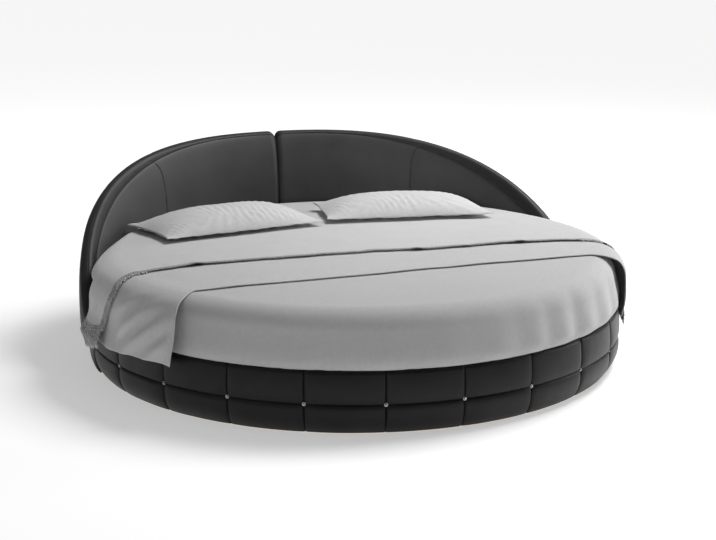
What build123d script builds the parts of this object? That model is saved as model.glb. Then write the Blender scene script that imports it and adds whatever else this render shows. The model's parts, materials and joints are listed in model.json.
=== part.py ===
from build123d import *

import os
from math import asin, cos, degrees, radians, sin, sqrt

# Round upholstered bed with a crescent headboard, a buttoned front rail, a slatted base and bedding.
# Origin: on the floor at the centre of the ring. +Z up, +Y towards the headboard, +X to the right
# of someone who stands at the foot and faces the headboard. Millimetres and degrees.

os.makedirs("parts", exist_ok=True)

# Mattress, and the ring that holds it
mattress_radius = 1075
mattress_height = 255
mattress_edge_round = 28
tape_edge_radius = 5
mattress_clearance = 10
seat_gap = 0.3
cut_overrun = 20

# Front rail: a curved timber channel, a bent skin that closes it and one padded cover
foot_height = 6
rail_core_height = 239
rail_core_depth = 64
rail_core_wall = 20
rail_skin_thickness = 5.7
rail_pad_thickness = 44.7
rail_pad_top_thickness = 10
rail_pad_channel_depth = 14
rail_pad_base_tuck = 36
rail_pad_shoulder = 9
rail_channel_height = 125
rail_panel_count = 12
button_radius = 8
button_shank_radius = 2
button_clearance = 0.3
button_seat_depth = 5

# Rear rail and headboard
rear_rail_thickness = 20
headboard_height = 846
headboard_curve_base = 100
headboard_fullness = 1.45
wing_end_blend = 8
cushion_thickness = 66
cushion_front_round = 60
cushion_cap_thickness = 60
cushion_crown_share = 0.01
cushion_seam_angle = 37.5
cushion_seam_width = 12
cushion_seam_depth = 6
cushion_border = 48
headboard_board_thickness = 18
headboard_back_thickness = 44.7
headboard_back_round = 38
headboard_back_base_round = 26
headboard_center_gap = 6
headboard_end_round = 20
headboard_corner_round = 34
round_overrun = 1
plinth_wall = 18
plinth_pad_base_tuck = 24
section_angles = (0, 6, 12, 18, 24, 30, 36, 42, 48, 54, 60, 65, 70, 74, 78, 81, 84, 87, 89.9)

# Slatted base
ledge_bottom_height = 150
ledge_depth = 30
ledge_thickness = 26
ledge_gap_angle = 2.5
slat_count = 12
slat_pitch_share = 0.152
slat_width = 90
slat_thickness = 18
slat_end_clearance = 4
slat_screw_radius = 2
slat_screw_head_radius = 4.5
slat_screw_sink_angle = 90
slat_screw_length = 34
screw_clearance = 0.2
beam_width = 60
beam_height = 110
beam_end_clearance = 4
bracket_thickness = 3
bracket_lip = 30
bracket_seat_length = 50
bracket_height = 70
bracket_screw_radius = 2.5
bracket_screw_head_radius = 5
bracket_screw_head_height = 2.5
bracket_screw_length = 18
bracket_screw_margin = 14

# Legs under the beam, each with a levelling foot
leg_spacing_share = 0.553
leg_radius = 22
leg_plate_radius = 28
leg_plate_thickness = 4
leg_bottom_height = 24
foot_pad_radius = 26
foot_pad_thickness = 8
foot_pad_chamfer = 2
foot_stem_radius = 5
foot_stem_length = 34
foot_stem_clearance = 0.2
foot_bore_end_clearance = 16

# Joint plates, bolts and glides
plate_half_angle = 4
plate_thickness = 4
plate_height = 46
plate_bottom_height = 14
plate_bolt_angle = 2.4
plate_bolt_rise = 12
plate_bolt_radius = 4
plate_bolt_head_radius = 7
plate_bolt_head_height = 5
plate_bolt_length = 22
bolt_clearance = 0.2
headboard_bolt_radius = 5
headboard_bolt_head_radius = 8.5
headboard_bolt_head_height = 6
headboard_bolt_length = 36
headboard_bolt_height = 80
headboard_bolt_angles = (15, 35, 55, 75)
washer_radius = 13
washer_thickness = 2
glide_radius = 25
glide_chamfer = 2
glide_spigot_radius = 6
glide_spigot_length = 6
glide_clearance = 0.2
glide_angles = (15, 45, 75)

# Duvet
duvet_thickness = 30
duvet_side_overhang = 115
duvet_back_clearance = 13
duvet_back_round = 25
duvet_core_inset = 75
duvet_shoulder_inset = 132
duvet_shoulder_drop = 60
duvet_shoulder_end_inset = 44
duvet_waist_inset = 15
duvet_waist_drop = 130
duvet_bulge_height = 34
duvet_hem_inset = 12
duvet_liner_inset = 32
duvet_liner_rise = 12
duvet_wing_clearance = 3
duvet_fold_radius = 80
duvet_fold_depth = 8
duvet_fold_angles = (-161, -148, -131, -113, -99, -86, -74, -63, -54, -45, -36, -27, -17)

# Blanket and top sheet; their side angles run from the bed's back axis towards the front
blanket_thickness = 7
blanket_front_edge_share = 0.48
blanket_back_edge_share = 0.533
blanket_side_angles = (95, 102, 108, 113, 118.5, 123.5)
blanket_hem_flares = (13, 13, 18, 11, 21, 12)
blanket_hem_heights = (190, 187, 200, 214, 222, 226)
sheet_thickness = 5
sheet_back_edge_share = 0.583
sheet_side_angles = (92.5, 97, 102, 107.5)
sheet_hem_flares = (20, 18, 20, 22)
sheet_hem_heights = (165, 168, 172, 178)
sheet_left_fall_shares = (0.25, 0.08)
sheet_right_fall_shares = (0.31, 0.275)
sheet_edge_x_shares = (-1, -0.9, -0.66, -0.31, 0, 0.21, 0.53, 0.77, 1)
sheet_edge_y_shares = (-0.27, -0.205, -0.166, -0.166, -0.18, -0.215, -0.23, -0.264, -0.31)
cloth_slab_inset = 0.5
cloth_lap = 30
cloth_rail_clearance = 4
cloth_shoulder_drop = 52
cloth_shoulder_reach = 118
cloth_side_swell = 8
cloth_arc_share = 0.72

# Pillows
pillow_length = 760
pillow_depth = 400
pillow_thickness = 115
pillow_side_draw = 20
pillow_left_x_share = -0.3683
pillow_left_y_share = 0.45
pillow_left_turn = 9.4
pillow_right_x_share = 0.355
pillow_right_y_share = 0.4325
pillow_right_turn = -12.5
pillow_level_shares = (0, 0.07, 0.16, 0.5, 0.82, 1)
pillow_inset_shares = (0.14, 0.05, 0, 0.16, 0.39, 0.66)

# Sizes that follow from the ones above
frame_inner_radius = mattress_radius + mattress_clearance
rail_core_outer_radius = frame_inner_radius + rail_core_depth
rail_skin_inner_radius = rail_core_outer_radius + seat_gap
rail_skin_outer_radius = rail_skin_inner_radius + rail_skin_thickness
rail_pad_inner_radius = rail_skin_outer_radius + seat_gap
rail_outer_radius = rail_pad_inner_radius + rail_pad_thickness
rail_valley_radius = rail_outer_radius - rail_pad_channel_depth
rail_core_top = foot_height + rail_core_height
rail_top = rail_core_top + seat_gap + rail_pad_top_thickness
rear_rail_outer_radius = frame_inner_radius + rear_rail_thickness
headboard_inner_radius = rear_rail_outer_radius + seat_gap
cushion_outer_radius = headboard_inner_radius + cushion_thickness
board_inner_radius = cushion_outer_radius + seat_gap
board_outer_radius = board_inner_radius + headboard_board_thickness
back_inner_radius = board_outer_radius + seat_gap
headboard_outer_radius = back_inner_radius + headboard_back_thickness
ledge_outer_radius = frame_inner_radius - seat_gap
ledge_inner_radius = ledge_outer_radius - ledge_depth
ledge_screw_radius = ledge_outer_radius - ledge_depth / 2
ledge_top = ledge_bottom_height + ledge_thickness
plinth_top = ledge_top
rear_rail_top = ledge_top
headboard_shell_bottom = rail_channel_height + seat_gap
slat_top = ledge_top + slat_thickness
slat_reach = frame_inner_radius - slat_end_clearance
beam_bottom = ledge_top - beam_height
cheek_inner = beam_width / 2 + seat_gap
cheek_outer = cheek_inner + bracket_thickness
bracket_half_width = cheek_outer + bracket_lip
bracket_back = sqrt(frame_inner_radius**2 - bracket_half_width**2) - seat_gap
bracket_face = bracket_back - bracket_thickness
bracket_bottom = beam_bottom - seat_gap - bracket_thickness
bracket_top = bracket_bottom + bracket_height
bracket_screw_x = cheek_outer + bracket_lip / 2
bracket_screw_heights = (bracket_bottom + bracket_screw_margin, bracket_top - bracket_screw_margin)
bracket_screw_places = [(x, z) for x in (-bracket_screw_x, bracket_screw_x) for z in bracket_screw_heights]
plate_outer_radius = frame_inner_radius - seat_gap
plate_inner_radius = plate_outer_radius - plate_thickness
plate_middle_height = plate_bottom_height + plate_height / 2
mattress_bottom = slat_top + seat_gap
mattress_top = mattress_bottom + mattress_height
duvet_bottom = mattress_top + seat_gap
duvet_top = duvet_bottom + duvet_thickness
duvet_outer_radius = mattress_radius + duvet_side_overhang
duvet_back_radius = headboard_inner_radius - duvet_back_clearance
duvet_flat_radius = duvet_outer_radius - duvet_shoulder_inset
duvet_hem = rail_top + seat_gap
blanket_bottom = duvet_top + seat_gap
blanket_top = blanket_bottom + blanket_thickness
sheet_bottom = blanket_top + seat_gap
sheet_top = sheet_bottom + sheet_thickness
far = 2 * headboard_outer_radius
half_share = sin(radians(45))


def radial_plane(angle):
    """Upright plane through the ring's axis: its X is the radius at that angle, and its Y is up."""
    a = radians(angle)
    return Plane(origin=(0, 0, 0), x_dir=(cos(a), sin(a), 0), z_dir=(sin(a), -cos(a), 0))


def facing_plane(angle, radius, height):
    """Plane at that radius and height whose normal points outwards along the radius."""
    a = radians(angle)
    return Plane(
        origin=(radius * cos(a), radius * sin(a), height),
        x_dir=(-sin(a), cos(a), 0),
        z_dir=(cos(a), sin(a), 0),
    )


def on_circle(radius, angle):
    """Point at that radius and angle, seen from above."""
    return (radius * cos(radians(angle)), radius * sin(radians(angle)))


def arc_at(radius, length):
    """Angle that a length takes at a radius."""
    return degrees(asin(length / radius))


def ring_sector(inner, outer, bottom, top, start, end):
    """Curved bar of rectangular section from one angle to another."""
    with BuildPart() as bar:
        with BuildSketch(radial_plane(start)):
            with BuildLine():
                Polyline((inner, bottom), (outer, bottom), (outer, top), (inner, top), close=True)
            make_face()
        revolve(axis=Axis.Z, revolution_arc=end - start)
    return bar.part


def radial_rod(angle, height, inner, outer, radius):
    """Round rod along the radius."""
    with BuildPart() as rod:
        with BuildSketch(facing_plane(angle, inner, height)):
            Circle(radius)
        extrude(amount=outer - inner)
    return rod.part


def radial_bolt(angle, height, seat, length, radius, head_radius, head_height):
    """Hexagon bolt along the radius, with its head on the inner side of the seat."""
    with BuildPart() as bolt:
        with BuildSketch(facing_plane(angle, seat, height)):
            Circle(radius)
        extrude(amount=length)
        with BuildSketch(facing_plane(angle, seat, height)):
            RegularPolygon(head_radius, 6)
        extrude(amount=-head_height)
    return bolt.part


def save(part, name):
    """Label a finished piece and write it to its own file."""
    part.label = name
    export_step(part, f"parts/{name}.step")


def save_pair(part, name):
    """Write a right-hand piece and its mirror image on the left."""
    save(part, f"{name}_right")
    with BuildPart() as left:
        mirror(part, about=Plane.YZ)
    save(left.part, f"{name}_left")


# Where the ring's four joints are bolted: every place as an angle and a height
plate_centers = {"front": -90, "right": 0, "rear": 90, "left": 180}
plate_bolt_heights = (plate_middle_height - plate_bolt_rise, plate_middle_height + plate_bolt_rise)
plate_bolt_places = [
    (center + side * plate_bolt_angle, height)
    for center in plate_centers.values()
    for side in (-1, 1)
    for height in plate_bolt_heights
]


def plate_bolt_holes(start, end, inner, outer):
    """Rods that cut the joint bolts' holes into a piece between two angles."""
    return [
        radial_rod(
            angle,
            height,
            inner - cut_overrun,
            outer + cut_overrun,
            plate_bolt_radius + bolt_clearance,
        )
        for angle, height in plate_bolt_places
        if start < angle < end
    ]


def bracket_screw_holes(end_side):
    """Rods that cut the bracket screws' pilot holes into the ring at the head (1) or foot (-1)."""
    with BuildPart() as holes:
        with BuildSketch(Plane.XZ.offset(-end_side * bracket_back)):
            with Locations(bracket_screw_places):
                Circle(bracket_screw_radius + screw_clearance)
        extrude(amount=-end_side * (bracket_screw_length - bracket_thickness + screw_clearance))
    return holes.part


# Front rail core: a curved timber channel, open outwards
rail_wall_radius = frame_inner_radius + rail_core_wall
rail_glide_radius = frame_inner_radius + rail_core_depth / 2
glide_recess_top = foot_height + glide_spigot_length + glide_clearance

with BuildPart() as rail_core:
    add(ring_sector(frame_inner_radius, rail_core_outer_radius, foot_height, rail_core_top, -90, 0))
    add(
        ring_sector(
            rail_wall_radius,
            rail_core_outer_radius + cut_overrun,
            foot_height + rail_core_wall,
            rail_core_top - rail_core_wall,
            -90,
            0,
        ),
        mode=Mode.SUBTRACT,
    )
    add(plate_bolt_holes(-90, 0, frame_inner_radius, rail_wall_radius), mode=Mode.SUBTRACT)
    add(bracket_screw_holes(-1), mode=Mode.SUBTRACT)
    with BuildSketch(Plane.XY.offset(foot_height)):
        with Locations([on_circle(rail_glide_radius, -angle) for angle in glide_angles]):
            Circle(glide_spigot_radius + glide_clearance)
    extrude(amount=glide_spigot_length + glide_clearance, mode=Mode.SUBTRACT)
save_pair(rail_core.part, "rail_core")

# Bent skin that closes the channel
with BuildPart() as rail_skin:
    add(ring_sector(rail_skin_inner_radius, rail_skin_outer_radius, foot_height, rail_core_top, -90, 0))
save_pair(rail_skin.part, "rail_skin")

# Padded cover of the front rail: two rows of crowned panels between sewn channels
panel_angle = 180 / rail_panel_count
seam_angles = [-180 + i * panel_angle for i in range(rail_panel_count + 1)]
button_angles = seam_angles[1:-1]
button_back = rail_valley_radius - button_seat_depth

with BuildPart() as rail_cover:
    with BuildSketch(radial_plane(-180)):
        with BuildLine():
            base = (rail_outer_radius - rail_pad_base_tuck, foot_height)
            channel = (rail_valley_radius, rail_channel_height)
            shoulder = (rail_outer_radius - rail_pad_shoulder, rail_top)
            ThreePointArc(base, (rail_outer_radius, (foot_height + rail_channel_height) / 2), channel)
            ThreePointArc(channel, (rail_outer_radius, (rail_channel_height + rail_top) / 2), shoulder)
            Polyline(
                shoulder,
                (frame_inner_radius + seat_gap, rail_top),
                (frame_inner_radius + seat_gap, rail_core_top + seat_gap),
                (rail_pad_inner_radius, rail_core_top + seat_gap),
                (rail_pad_inner_radius, foot_height),
                base,
            )
        make_face()
    revolve(axis=Axis.Z, revolution_arc=180)
    with BuildSketch():
        with BuildLine():
            for left_seam, right_seam in zip(seam_angles, seam_angles[1:]):
                ThreePointArc(
                    on_circle(rail_valley_radius, left_seam),
                    on_circle(rail_outer_radius, (left_seam + right_seam) / 2),
                    on_circle(rail_valley_radius, right_seam),
                )
            Line(
                on_circle(rail_valley_radius, seam_angles[-1]),
                on_circle(rail_valley_radius, seam_angles[0]),
            )
        make_face()
    extrude(amount=rail_top, mode=Mode.INTERSECT)
    for button_angle in button_angles:
        hole_start = rail_pad_inner_radius - cut_overrun
        hole_end = rail_outer_radius + cut_overrun
        add(
            [
                radial_rod(
                    button_angle,
                    rail_channel_height,
                    hole_start,
                    hole_end,
                    button_shank_radius + button_clearance,
                ),
                radial_rod(
                    button_angle,
                    rail_channel_height,
                    button_back,
                    hole_end,
                    button_radius + button_clearance,
                ),
            ],
            mode=Mode.SUBTRACT,
        )
save(rail_cover.part, "rail_cover")

# Buttons sewn where the channels cross: a shank and a domed head each
with BuildPart() as rail_buttons:
    for button_angle in button_angles:
        with BuildSketch(radial_plane(button_angle)):
            head_back = button_back + button_clearance
            with BuildLine():
                Polyline(
                    (head_back, rail_channel_height),
                    (rail_pad_inner_radius, rail_channel_height),
                    (rail_pad_inner_radius, rail_channel_height + button_shank_radius),
                    (head_back, rail_channel_height + button_shank_radius),
                    (head_back, rail_channel_height + button_radius),
                )
                ThreePointArc(
                    (head_back, rail_channel_height + button_radius),
                    (
                        head_back + button_radius * half_share,
                        rail_channel_height + button_radius * half_share,
                    ),
                    (head_back + button_radius, rail_channel_height),
                )
                Line((head_back + button_radius, rail_channel_height), (head_back, rail_channel_height))
            make_face()
        outwards = (*on_circle(1, button_angle), 0)
        revolve(axis=Axis((0, 0, rail_channel_height), outwards))
save(rail_buttons.part, "rail_buttons")

# Rear rail: the curved board that the headboard bolts to
headboard_bolt_places = [90 - angle for angle in headboard_bolt_angles]

with BuildPart() as rear_rail:
    add(ring_sector(frame_inner_radius, rear_rail_outer_radius, foot_height, rear_rail_top, 0, 90))
    add(plate_bolt_holes(0, 90, frame_inner_radius, rear_rail_outer_radius), mode=Mode.SUBTRACT)
    add(bracket_screw_holes(1), mode=Mode.SUBTRACT)
    add(
        [
            radial_rod(
                angle,
                headboard_bolt_height,
                frame_inner_radius - cut_overrun,
                rear_rail_outer_radius + cut_overrun,
                headboard_bolt_radius + bolt_clearance,
            )
            for angle in headboard_bolt_places
        ],
        mode=Mode.SUBTRACT,
    )
save_pair(rear_rail.part, "rear_rail")


def headboard_top(angle):
    """Height of the headboard at an angle from its middle: it sweeps down and runs out level
    with the front rail."""
    fall = 1 - cos(radians(angle))
    crown = (1 - fall**headboard_fullness) ** (1 / headboard_fullness)
    curve = headboard_curve_base + (headboard_height - headboard_curve_base) * crown
    return (curve**wing_end_blend + rail_top**wing_end_blend) ** (1 / wing_end_blend)


# Limits of a headboard half: rounded upright edges at the middle and at the wing's end, and a
# rounded corner at the top of the middle gap
gap_side = headboard_center_gap / 2
front_limit = headboard_inner_radius - headboard_end_round
corner_cut = 1 - half_share
reach = headboard_outer_radius + round_overrun

with BuildPart() as headboard_limits:
    with BuildSketch():
        with BuildLine():
            inner_start = (gap_side + headboard_end_round, front_limit)
            inner_end = (gap_side, headboard_inner_radius + headboard_end_round)
            outer_start = (gap_side, headboard_outer_radius - headboard_end_round)
            outer_end = (gap_side + headboard_end_round, reach)
            wing_start = (reach, headboard_end_round + seat_gap)
            wing_end = (headboard_outer_radius - headboard_end_round, seat_gap)
            ThreePointArc(
                inner_start,
                (
                    gap_side + headboard_end_round * corner_cut,
                    front_limit + 2 * headboard_end_round * corner_cut,
                ),
                inner_end,
            )
            Line(inner_end, outer_start)
            ThreePointArc(
                outer_start,
                (
                    gap_side + headboard_end_round * corner_cut,
                    reach - (headboard_end_round + round_overrun) * corner_cut,
                ),
                outer_end,
            )
            Polyline(
                outer_end,
                (gap_side + headboard_end_round, far),
                (far, far),
                (far, wing_start[1]),
                wing_start,
            )
            ThreePointArc(
                wing_start,
                (
                    reach - (headboard_end_round + round_overrun) * corner_cut,
                    seat_gap + headboard_end_round * corner_cut,
                ),
                wing_end,
            )
            Polyline(wing_end, (inner_start[0], seat_gap), inner_start)
        make_face()
    extrude(amount=far)
    with BuildSketch(Plane.XZ):
        with BuildLine():
            crest = headboard_height + round_overrun
            corner_start = (gap_side, headboard_height - headboard_corner_round)
            corner_end = (gap_side + headboard_corner_round, crest)
            ThreePointArc(
                corner_start,
                (
                    gap_side + headboard_corner_round * corner_cut,
                    crest - (headboard_corner_round + round_overrun) * corner_cut,
                ),
                corner_end,
            )
            Polyline(corner_end, (far, crest), (far, 0), (gap_side, 0), corner_start)
        make_face()
    extrude(amount=-far, mode=Mode.INTERSECT)

# Plinth that carries the headboard: a curved hollow box
plinth_glide_radius = headboard_inner_radius + cushion_thickness / 2

plinth_cut_margin = arc_at(headboard_inner_radius, cut_overrun)

with BuildPart() as headboard_plinth:
    add(ring_sector(headboard_inner_radius, cushion_outer_radius, foot_height, plinth_top, 0, 90))
    add(headboard_limits.part, mode=Mode.INTERSECT)
    add(
        ring_sector(
            headboard_inner_radius + plinth_wall,
            cushion_outer_radius - plinth_wall,
            foot_height + plinth_wall,
            plinth_top - plinth_wall,
            -plinth_cut_margin,
            90 + plinth_cut_margin,
        ),
        mode=Mode.SUBTRACT,
    )
    add(
        [
            radial_rod(
                angle,
                headboard_bolt_height,
                frame_inner_radius,
                headboard_inner_radius + plinth_wall,
                headboard_bolt_radius + bolt_clearance,
            )
            for angle in headboard_bolt_places
        ],
        mode=Mode.SUBTRACT,
    )
    with BuildSketch(Plane.XY.offset(foot_height)):
        with Locations([on_circle(plinth_glide_radius, angle) for angle in glide_angles]):
            Circle(glide_spigot_radius + glide_clearance)
    extrude(amount=glide_spigot_length + glide_clearance, mode=Mode.SUBTRACT)
save_pair(headboard_plinth.part, "headboard_plinth")

# Headboard board between the cushion and the back
with BuildPart() as headboard_board:
    for section_angle in section_angles:
        with BuildSketch(radial_plane(90 - section_angle)):
            board_top = headboard_top(section_angle) - cushion_cap_thickness - seat_gap
            with BuildLine():
                Polyline(
                    (board_inner_radius, headboard_shell_bottom),
                    (board_outer_radius, headboard_shell_bottom),
                    (board_outer_radius, board_top),
                    (board_inner_radius, board_top),
                    close=True,
                )
            make_face()
    loft()
    add(headboard_limits.part, mode=Mode.INTERSECT)
save_pair(headboard_board.part, "headboard_board")

# Headboard cushion: a crowned face, a rounded top that caps the board, and one sewn seam
with BuildPart() as headboard_cushion:
    for section_angle in section_angles:
        with BuildSketch(radial_plane(90 - section_angle)):
            bottom = plinth_top + seat_gap
            top = headboard_top(section_angle)
            face_top = top - cushion_front_round
            crown = cushion_crown_share * (face_top - bottom)
            cap_bottom = top - cushion_cap_thickness
            with BuildLine():
                ThreePointArc(
                    (headboard_inner_radius, bottom),
                    (headboard_inner_radius - crown, (bottom + face_top) / 2),
                    (headboard_inner_radius, face_top),
                )
                ThreePointArc(
                    (headboard_inner_radius, face_top),
                    (
                        headboard_inner_radius + cushion_front_round * corner_cut,
                        top - cushion_front_round * corner_cut,
                    ),
                    (headboard_inner_radius + cushion_front_round, top),
                )
                Polyline(
                    (headboard_inner_radius + cushion_front_round, top),
                    (board_outer_radius, top),
                    (board_outer_radius, cap_bottom),
                    (cushion_outer_radius, cap_bottom),
                    (cushion_outer_radius, bottom),
                    (headboard_inner_radius, bottom),
                )
            make_face()
    loft()
    add(headboard_limits.part, mode=Mode.INTERSECT)
    seam_center = 90 - cushion_seam_angle
    seam_half_angle = arc_at(headboard_inner_radius, cushion_seam_width / 2)
    with BuildSketch():
        with BuildLine():
            Polyline(
                on_circle(headboard_inner_radius - cut_overrun, seam_center - seam_half_angle),
                on_circle(headboard_inner_radius + cushion_seam_depth, seam_center),
                on_circle(headboard_inner_radius - cut_overrun, seam_center + seam_half_angle),
                close=True,
            )
        make_face()
    cushion_seam_top = headboard_top(cushion_seam_angle) - cushion_front_round - cushion_border
    extrude(amount=cushion_seam_top, mode=Mode.SUBTRACT)
save_pair(headboard_cushion.part, "headboard_cushion")

# Padded strip round the headboard's foot, in line with the lower row of the front rail's panels
pad_start = arc_at(board_inner_radius, seat_gap)
pad_seam_angles = [i * panel_angle for i in range(rail_panel_count // 2 + 1)]

with BuildPart() as plinth_pad:
    with BuildSketch(radial_plane(pad_start)):
        with BuildLine():
            pad_base = (rail_outer_radius - plinth_pad_base_tuck, foot_height)
            pad_top = (rail_valley_radius, rail_channel_height)
            ThreePointArc(pad_base, (rail_outer_radius, (foot_height + rail_channel_height) / 2), pad_top)
            Polyline(
                pad_top,
                (board_inner_radius, rail_channel_height),
                (board_inner_radius, foot_height),
                pad_base,
            )
        make_face()
    revolve(axis=Axis.Z, revolution_arc=90 - 2 * pad_start)
    with BuildSketch():
        with BuildLine():
            for near_seam, far_seam in zip(pad_seam_angles, pad_seam_angles[1:]):
                ThreePointArc(
                    on_circle(rail_valley_radius, near_seam),
                    on_circle(rail_outer_radius, (near_seam + far_seam) / 2),
                    on_circle(rail_valley_radius, far_seam),
                )
            Polyline(
                on_circle(rail_valley_radius, pad_seam_angles[-1]),
                (0, 0),
                on_circle(rail_valley_radius, pad_seam_angles[0]),
            )
        make_face()
    extrude(amount=rail_channel_height, mode=Mode.INTERSECT)
save_pair(plinth_pad.part, "plinth_pad")

# Headboard back: a padded outer panel that hangs over the strip round the foot
with BuildPart() as headboard_back:
    for section_angle in section_angles:
        with BuildSketch(radial_plane(90 - section_angle)):
            top = headboard_top(section_angle)
            with BuildLine():
                Polyline(
                    (headboard_outer_radius - headboard_back_round, top),
                    (back_inner_radius, top),
                    (back_inner_radius, headboard_shell_bottom),
                    (headboard_outer_radius - headboard_back_base_round, headboard_shell_bottom),
                )
                ThreePointArc(
                    (headboard_outer_radius - headboard_back_base_round, headboard_shell_bottom),
                    (
                        headboard_outer_radius - headboard_back_base_round * corner_cut,
                        headboard_shell_bottom + headboard_back_base_round * corner_cut,
                    ),
                    (headboard_outer_radius, headboard_shell_bottom + headboard_back_base_round),
                )
                Line(
                    (headboard_outer_radius, headboard_shell_bottom + headboard_back_base_round),
                    (headboard_outer_radius, top - headboard_back_round),
                )
                ThreePointArc(
                    (headboard_outer_radius, top - headboard_back_round),
                    (
                        headboard_outer_radius - headboard_back_round * corner_cut,
                        top - headboard_back_round * corner_cut,
                    ),
                    (headboard_outer_radius - headboard_back_round, top),
                )
            make_face()
    loft()
    add(headboard_limits.part, mode=Mode.INTERSECT)
save_pair(headboard_back.part, "headboard_back")

# Ledges round the inside that carry the slats' ends
slat_pitch = slat_pitch_share * frame_inner_radius
slat_positions = [(i - (slat_count - 1) / 2) * slat_pitch for i in range(slat_count)]
screw_places = [(sqrt(ledge_screw_radius**2 - y**2), y) for y in slat_positions]

for ledge_name, ledge_start, ledge_end in (
    ("ledge_front", -90 + ledge_gap_angle, 0),
    ("ledge_rear", 0, 90 - ledge_gap_angle),
):
    with BuildPart() as ledge:
        add(
            ring_sector(
                ledge_inner_radius,
                ledge_outer_radius,
                ledge_bottom_height,
                ledge_top,
                ledge_start,
                ledge_end,
            )
        )
        side = 1 if ledge_end > 0 else -1
        with Locations([(x, y, ledge_top) for x, y in screw_places if y * side > 0]):
            Hole(
                radius=slat_screw_radius + screw_clearance,
                depth=slat_screw_length - slat_thickness + screw_clearance,
            )
    save_pair(ledge.part, ledge_name)

# Slats, cut to the ring and countersunk for a screw at each end
for slat_number, slat_y in enumerate(slat_positions, start=1):
    with BuildPart() as slat:
        with BuildSketch(Plane.XY.offset(ledge_top)):
            Circle(slat_reach)
            with Locations((0, slat_y)):
                Rectangle(2 * slat_reach, slat_width, mode=Mode.INTERSECT)
        extrude(amount=slat_thickness)
        screw_x = sqrt(ledge_screw_radius**2 - slat_y**2)
        with Locations((screw_x, slat_y, slat_top), (-screw_x, slat_y, slat_top)):
            CounterSinkHole(
                radius=slat_screw_radius + screw_clearance,
                counter_sink_radius=slat_screw_head_radius + screw_clearance,
                counter_sink_angle=slat_screw_sink_angle,
            )
    save(slat.part, f"slat_{slat_number:02d}")

# Countersunk screws that hold the slats
with BuildPart() as slat_screws:
    for screw_x, screw_y in screw_places:
        for side in (-1, 1):
            with BuildSketch(Plane((side * screw_x, screw_y, slat_top), x_dir=(1, 0, 0), z_dir=(0, -1, 0))):
                with BuildLine():
                    Polyline(
                        (0, 0),
                        (slat_screw_head_radius, 0),
                        (slat_screw_radius, slat_screw_radius - slat_screw_head_radius),
                        (slat_screw_radius, -slat_screw_length),
                        (0, -slat_screw_length),
                        close=True,
                    )
                make_face()
            revolve(axis=Axis((side * screw_x, screw_y, 0), (0, 0, 1)))
save(slat_screws.part, "slat_screws")

# Brackets at the beam's ends: a seat, two cheeks and a lipped back plate
for end_name, end_side in (("head", 1), ("foot", -1)):
    with BuildPart() as bracket:
        with BuildSketch(Plane.XZ.offset(-end_side * bracket_face)):
            with Locations((0, (bracket_bottom + bracket_top) / 2)):
                Rectangle(2 * bracket_half_width, bracket_height)
        extrude(amount=-end_side * bracket_thickness)
        with BuildSketch(Plane.XZ.offset(-end_side * bracket_face)):
            with Locations((0, (bracket_bottom + bracket_top) / 2)):
                Rectangle(2 * cheek_outer, bracket_height)
            with Locations((0, (bracket_bottom + bracket_thickness + bracket_top) / 2)):
                Rectangle(2 * cheek_inner, bracket_height - bracket_thickness, mode=Mode.SUBTRACT)
        extrude(amount=end_side * bracket_seat_length)
        with BuildSketch(Plane.XZ.offset(-end_side * (bracket_face - cut_overrun))):
            with Locations(bracket_screw_places):
                Circle(bracket_screw_radius + screw_clearance)
        extrude(amount=-end_side * 2 * cut_overrun, mode=Mode.SUBTRACT)
    save(bracket.part, f"beam_bracket_{end_name}")

# Screws that hold the brackets
with BuildPart() as bracket_screws:
    for end_side in (-1, 1):
        with BuildSketch(Plane.XZ.offset(-end_side * bracket_face)):
            with Locations(bracket_screw_places):
                Circle(bracket_screw_radius)
        extrude(amount=-end_side * bracket_screw_length)
        with BuildSketch(Plane.XZ.offset(-end_side * bracket_face)):
            with Locations(bracket_screw_places):
                Circle(bracket_screw_head_radius)
        extrude(amount=end_side * bracket_screw_head_height)
save(bracket_screws.part, "bracket_screws")

# Beam down the middle
with BuildPart() as center_beam:
    with BuildSketch(Plane.XY.offset(beam_bottom)):
        Rectangle(beam_width, 2 * (bracket_face - beam_end_clearance))
    extrude(amount=beam_height)
save(center_beam.part, "center_beam")

# Legs under the beam, bored for the levelling feet
leg_spacing = leg_spacing_share * frame_inner_radius

for leg_name, leg_y in (("foot", -leg_spacing), ("middle", 0), ("head", leg_spacing)):
    with BuildPart() as support_leg:
        with BuildSketch(Plane.XY.offset(leg_bottom_height)):
            with Locations((0, leg_y)):
                Circle(leg_radius)
        extrude(amount=beam_bottom - leg_bottom_height)
        with BuildSketch(Plane.XY.offset(beam_bottom)):
            with Locations((0, leg_y)):
                Circle(leg_plate_radius)
        extrude(amount=-leg_plate_thickness)
        with BuildSketch(Plane.XY.offset(leg_bottom_height)):
            with Locations((0, leg_y)):
                Circle(foot_stem_radius + foot_stem_clearance)
        bore_top = foot_pad_thickness + foot_stem_length + foot_bore_end_clearance
        extrude(amount=bore_top - leg_bottom_height, mode=Mode.SUBTRACT)
    save(support_leg.part, f"support_leg_{leg_name}")

    with BuildPart() as levelling_foot:
        with BuildSketch():
            with Locations((0, leg_y)):
                Circle(foot_pad_radius)
        extrude(amount=foot_pad_thickness)
        chamfer(levelling_foot.edges().group_by(Axis.Z)[-1], length=foot_pad_chamfer)
        with BuildSketch(Plane.XY.offset(foot_pad_thickness)):
            with Locations((0, leg_y)):
                Circle(foot_stem_radius)
        extrude(amount=foot_stem_length)
    save(levelling_foot.part, f"levelling_foot_{leg_name}")

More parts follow.
